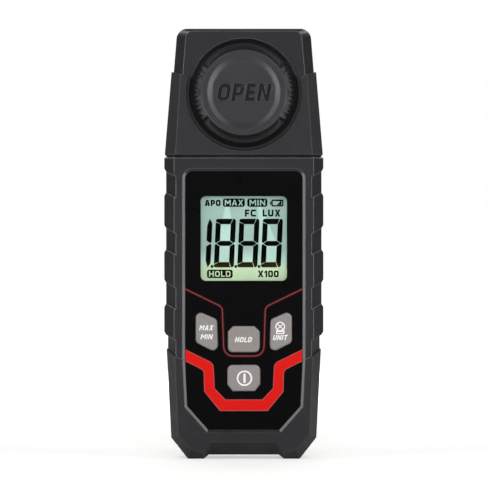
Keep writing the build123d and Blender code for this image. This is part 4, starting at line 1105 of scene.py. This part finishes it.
@dataclass
class Keypad:
    """Four rubber keys and the white legends printed on them. Millimetres."""

    surface: float = -14.2
    ink: float = 0.03
    slant: float = 0.25
    bold: float = 0.22
    gap: float = 0.15
    power_ring: Boxes = ((0.25, 30.15, 2.88), (0.25, 30.15, 2.26))
    power_bar: tuple[float, ...] = (0.25, 30.15, 0.86, 3.5, 0.3)
    lamp_ring: Boxes = ((13.5, 49.3, 1.82), (13.5, 49.3, 1.38))
    lamp_cross: float = 1.1
    lamp_stroke: float = 0.34
    lamp_foot: Boxes = ((13.5, 47.3, 3.2, 1.5, 0.5), (13.5, 47.1, 2.2, 0.38, 0.15))
    # Where strokes cross, one lies this much above the other
    lift: float = 0.004

    def word(self, text: str, x: float, z: float, width: float, height: float) -> list[Outline]:
        """Outlines of one slanted word of the legends."""
        return Lettering(text, x, z, width, height, self.slant, self.bold, self.gap).outlines()

    def layer(self, *outlines: Outline, level: int = 0) -> Piece:
        """Make one print of ink on the keys' tops, a little thicker with each level."""
        return flat_piece("print", outlines, self.surface, self.ink + self.lift * level)

    def lamp_sign(self) -> list[Piece]:
        """Make the lamp sign: a ring with a cross in it, on a foot."""
        (x, z, _), arm = self.lamp_ring[0], self.lamp_cross
        strokes = ([(x - arm, z - arm), (x + arm, z + arm)], [(x - arm, z + arm), (x + arm, z - arm)])
        return [
            self.layer(*(plate(*box) for box in self.lamp_foot)),
            self.layer(*(circle(*ring) for ring in self.lamp_ring), level=1),
            *(self.layer(ribbon(stroke, self.lamp_stroke), level=level)
              for level, stroke in enumerate(strokes, 2)),
        ]

    def build(self) -> None:
        """Dress the keys and print their legends."""
        dress(KEY, "key_hold", "key_power", "key_unit", "key_max_min")
        ring = [circle(*ring) for ring in self.power_ring]
        max_min = self.word("MAX", -13.85, 48.85, 5.5, 1.93) + self.word("MIN", -13.75, 45.55, 4.75, 1.85)
        unit = self.word("UNIT", 13.5, 45.25, 5.7, 1.93)
        legends = (
            ("legend_hold", [self.layer(*self.word("HOLD", -0.1, 44.45, 6.6, 1.93))], Ride.HOLD),
            ("legend_max_min", [self.layer(*max_min)], Ride.MAX_MIN),
            ("legend_unit", [self.layer(*unit), *self.lamp_sign()], Ride.UNIT),
            ("legend_power", [self.layer(*ring, plate(*self.power_bar))], Ride.POWER),
        )
        for name, pieces, ride in legends:
            hand_over(join(name, pieces), WHITE_INK, ride)


@dataclass
class Cap:
    """Cap over the sensor, with a word cut into its dished face. Millimetres."""

    face: float = -17.0
    cut: float = 0.35
    above: float = 0.3
    smooth_deg: float = 14.0
    # Lets the large faces alone set the shading of the bends, so that they stay flat
    face_weight: int = 100
    word: Lettering = Lettering("OPEN", 0.1, 136.05, 20.4, 6.5, 0.17, 0.22, 0.13)

    def build(self) -> None:
        """Copy the cap from the CAD model and cut the word into it."""
        piece = add_object("cap_with_word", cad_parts["sensor_cap"].data.copy())
        piece.data.materials.clear()
        piece.data.materials.append(CAP.material())
        weld(piece)
        word = self.word.outlines()
        cutter = flat_piece("word_cutter", word, self.face + self.cut, self.cut + self.above)
        cutter.data.materials.append(CAP_CUT.material())
        pick(piece)
        modifier = piece.modifiers.new("word", "BOOLEAN")
        modifier.operation, modifier.object, modifier.solver = "DIFFERENCE", cutter, "EXACT"
        modifier.material_mode = "TRANSFER"
        bpy.ops.object.modifier_apply(modifier=modifier.name)
        bpy.data.objects.remove(cutter)
        pick(piece)
        bpy.ops.object.shade_smooth_by_angle(angle=math.radians(self.smooth_deg))
        even = piece.modifiers.new("even", "WEIGHTED_NORMAL")
        even.keep_sharp, even.weight = True, self.face_weight
        bpy.ops.object.modifier_apply(modifier=even.name)
        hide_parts("sensor_cap")
        hand_over(piece, None, Ride.CAP)


@dataclass
class Sensor:
    """Dome, ring and what lies under them, carried over from the CAD model."""

    def build(self) -> None:
        """Dress the sensor."""
        dress(OPAL, "diffuser_dome")
        dress(RING, "dome_ring", "sensor_holder", "swivel_neck")
        dress(FILTER, "light_filter")
        dress(DIODE, "photodiode")
        dress(LEAD, "upper_sensor_cable", "lower_sensor_cable")
        dress(ACETAL, "friction_washer")


@dataclass
class Electronics:
    """Boards, their components, and the cells with their contacts."""

    def build(self) -> None:
        """Dress the inside."""
        dress(BOARD, "main_board", "sensor_board")
        dress(CHIP, "controller_chip", "amplifier_chip", "key_switches")
        dress(CAN, "crystal", "capacitors")
        dress(NYLON, "wire_socket", "lcd_holder")
        dress(ACETAL, "plunger_hold", "plunger_power", "plunger_unit", "plunger_max_min")
        dress(LAMP, "backlight_lamps")
        dress(GUIDE, "light_guide")
        dress(NICKEL, "top_contacts", "bottom_contacts", "contact_springs")
        dress(CELL_UP, "cell_left", "cell_right")
        dress(CELL_DOWN, "cell_middle")


@dataclass(frozen=True)
class Lamp:
    """A soft rectangular lamp. One for gloss is seen in reflections and lights nothing else. Metres."""

    name: str
    place: Place
    aim: Place
    size: tuple[float, float]
    watts: float
    gloss: bool = False

    def build(self) -> None:
        """Hang the lamp, aimed and out of the camera's sight."""
        data = bpy.data.lights.new(self.name, "AREA")
        data.shape, data.energy = "RECTANGLE", self.watts
        data.size, data.size_y = self.size
        lamp = add_object(self.name, data)
        lamp.location = self.place
        lamp.rotation_euler = (Vector(self.aim) - Vector(self.place)).to_track_quat("-Z", "Y").to_euler()
        lamp.visible_camera, lamp.visible_glossy = False, self.gloss
        lamp.visible_diffuse = lamp.visible_transmission = not self.gloss


def pair(name: str, place: Place, *rest: Any) -> tuple[Lamp, Lamp]:
    """Give a left lamp at a place, and a right one that mirrors it, with the rest of a lamp's fields."""
    return Lamp("left_" + name, place, *rest), Lamp("right_" + name, (-place[0], *place[1:]), *rest)


@dataclass
class Studio:
    """Pale floor, soft lamps and the camera. Metres."""

    floor_half: float = 6.0
    camera_place: Vector = field(default_factory=lambda: Vector((0.00007, -1.5, 0.0799)))
    seen_plane: float = -0.004
    seen_width: float = 0.1821
    sensor_width: float = 36.0
    clip: tuple[float, float] = (0.1, 30.0)
    world_level: float = 0.15
    room_level: float = 0.1
    lamps: tuple[Lamp, ...] = (
        Lamp("front_lamp", (0.0, -1.2, 0.45), (0.0, 0.0, 0.08), (0.6, 0.4), 8.0),
        *pair("lamp", (-0.82, -0.6, 0.5), (0.0, 0.0, 0.08), (0.34, 0.95), 2.6),
        Lamp("back_lamp", (0.0, 0.95, 0.35), (0.0, 0.0, 0.08), (0.9, 0.6), 5.0),
        *pair("back_strip", (-0.35, 0.6, 0.3), (0.0, 0.0, 0.08), (0.15, 0.6), 1.2, True),
        *pair("strip", (-0.138, -0.116, 0.09), (0.0, 0.0, 0.09), (0.1, 0.18), 0.276, True),
        *pair("high_strip", (-0.138, -0.116, 0.27), (0.0, 0.0, 0.155), (0.12, 0.12), 0.15, True),
    )

    def floor(self) -> None:
        """Lay the paper."""
        bpy.ops.object.select_all(action="DESELECT")
        bpy.ops.mesh.primitive_plane_add(size=self.floor_half * 2, location=(0, 0, 0))
        floor = bpy.context.view_layer.objects.active
        floor.name = "studio_floor"
        floor.data.materials.append(PAPER.material())

    def world(self) -> None:
        """Surround the meter with even light. The camera sees it white, gloss and glass as a dim room."""
        world = bpy.data.worlds.new("studio_world")
        bpy.context.scene.world = world
        world.use_nodes = True
        tree = world.node_tree
        rays = add_node(tree, "LightPath").node.outputs
        indoors = (rays["Is Glossy Ray"], rays["Is Transmission Ray"])
        seen = add_node(tree, "Math", indoors, operation="MAXIMUM")
        room = add_node(tree, "MapRange", (seen, *MIDDLE, self.world_level, self.room_level))
        level = add_node(tree, "Math", (room, rays["Is Camera Ray"]), operation="MAXIMUM")
        background = tree.nodes["Background"].inputs
        feed(background["Color"], linear("#ffffff"))
        feed(background["Strength"], level)

    def camera(self) -> None:
        """Set the camera level in front of the display, far away, as in the photograph."""
        data = bpy.data.cameras.new("front_camera")
        camera = add_object("front_camera", data)
        camera.location = self.camera_place
        camera.rotation_euler = (math.pi / 2, 0, 0)
        data.sensor_width = self.sensor_width
        data.lens = data.sensor_width * (self.seen_plane - self.camera_place.y) / self.seen_width
        data.clip_start, data.clip_end = self.clip
        bpy.context.scene.camera = camera

    def build(self) -> None:
        """Set up the studio."""
        self.camera()
        self.floor()
        for lamp in self.lamps:
            lamp.build()
        self.world()
        bpy.context.scene.view_settings.view_transform = "Standard"


def main() -> None:
    logging.basicConfig(level=logging.INFO, format="%(name)s: %(message)s")
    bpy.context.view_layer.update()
    for part in (Studio(), Case(), Overlay(), Display(), Keypad(), Cap(), Sensor(), Electronics()):
        part.build()
        log.info("finished %s", type(part).__name__)


if __name__ == "__main__":
    main()
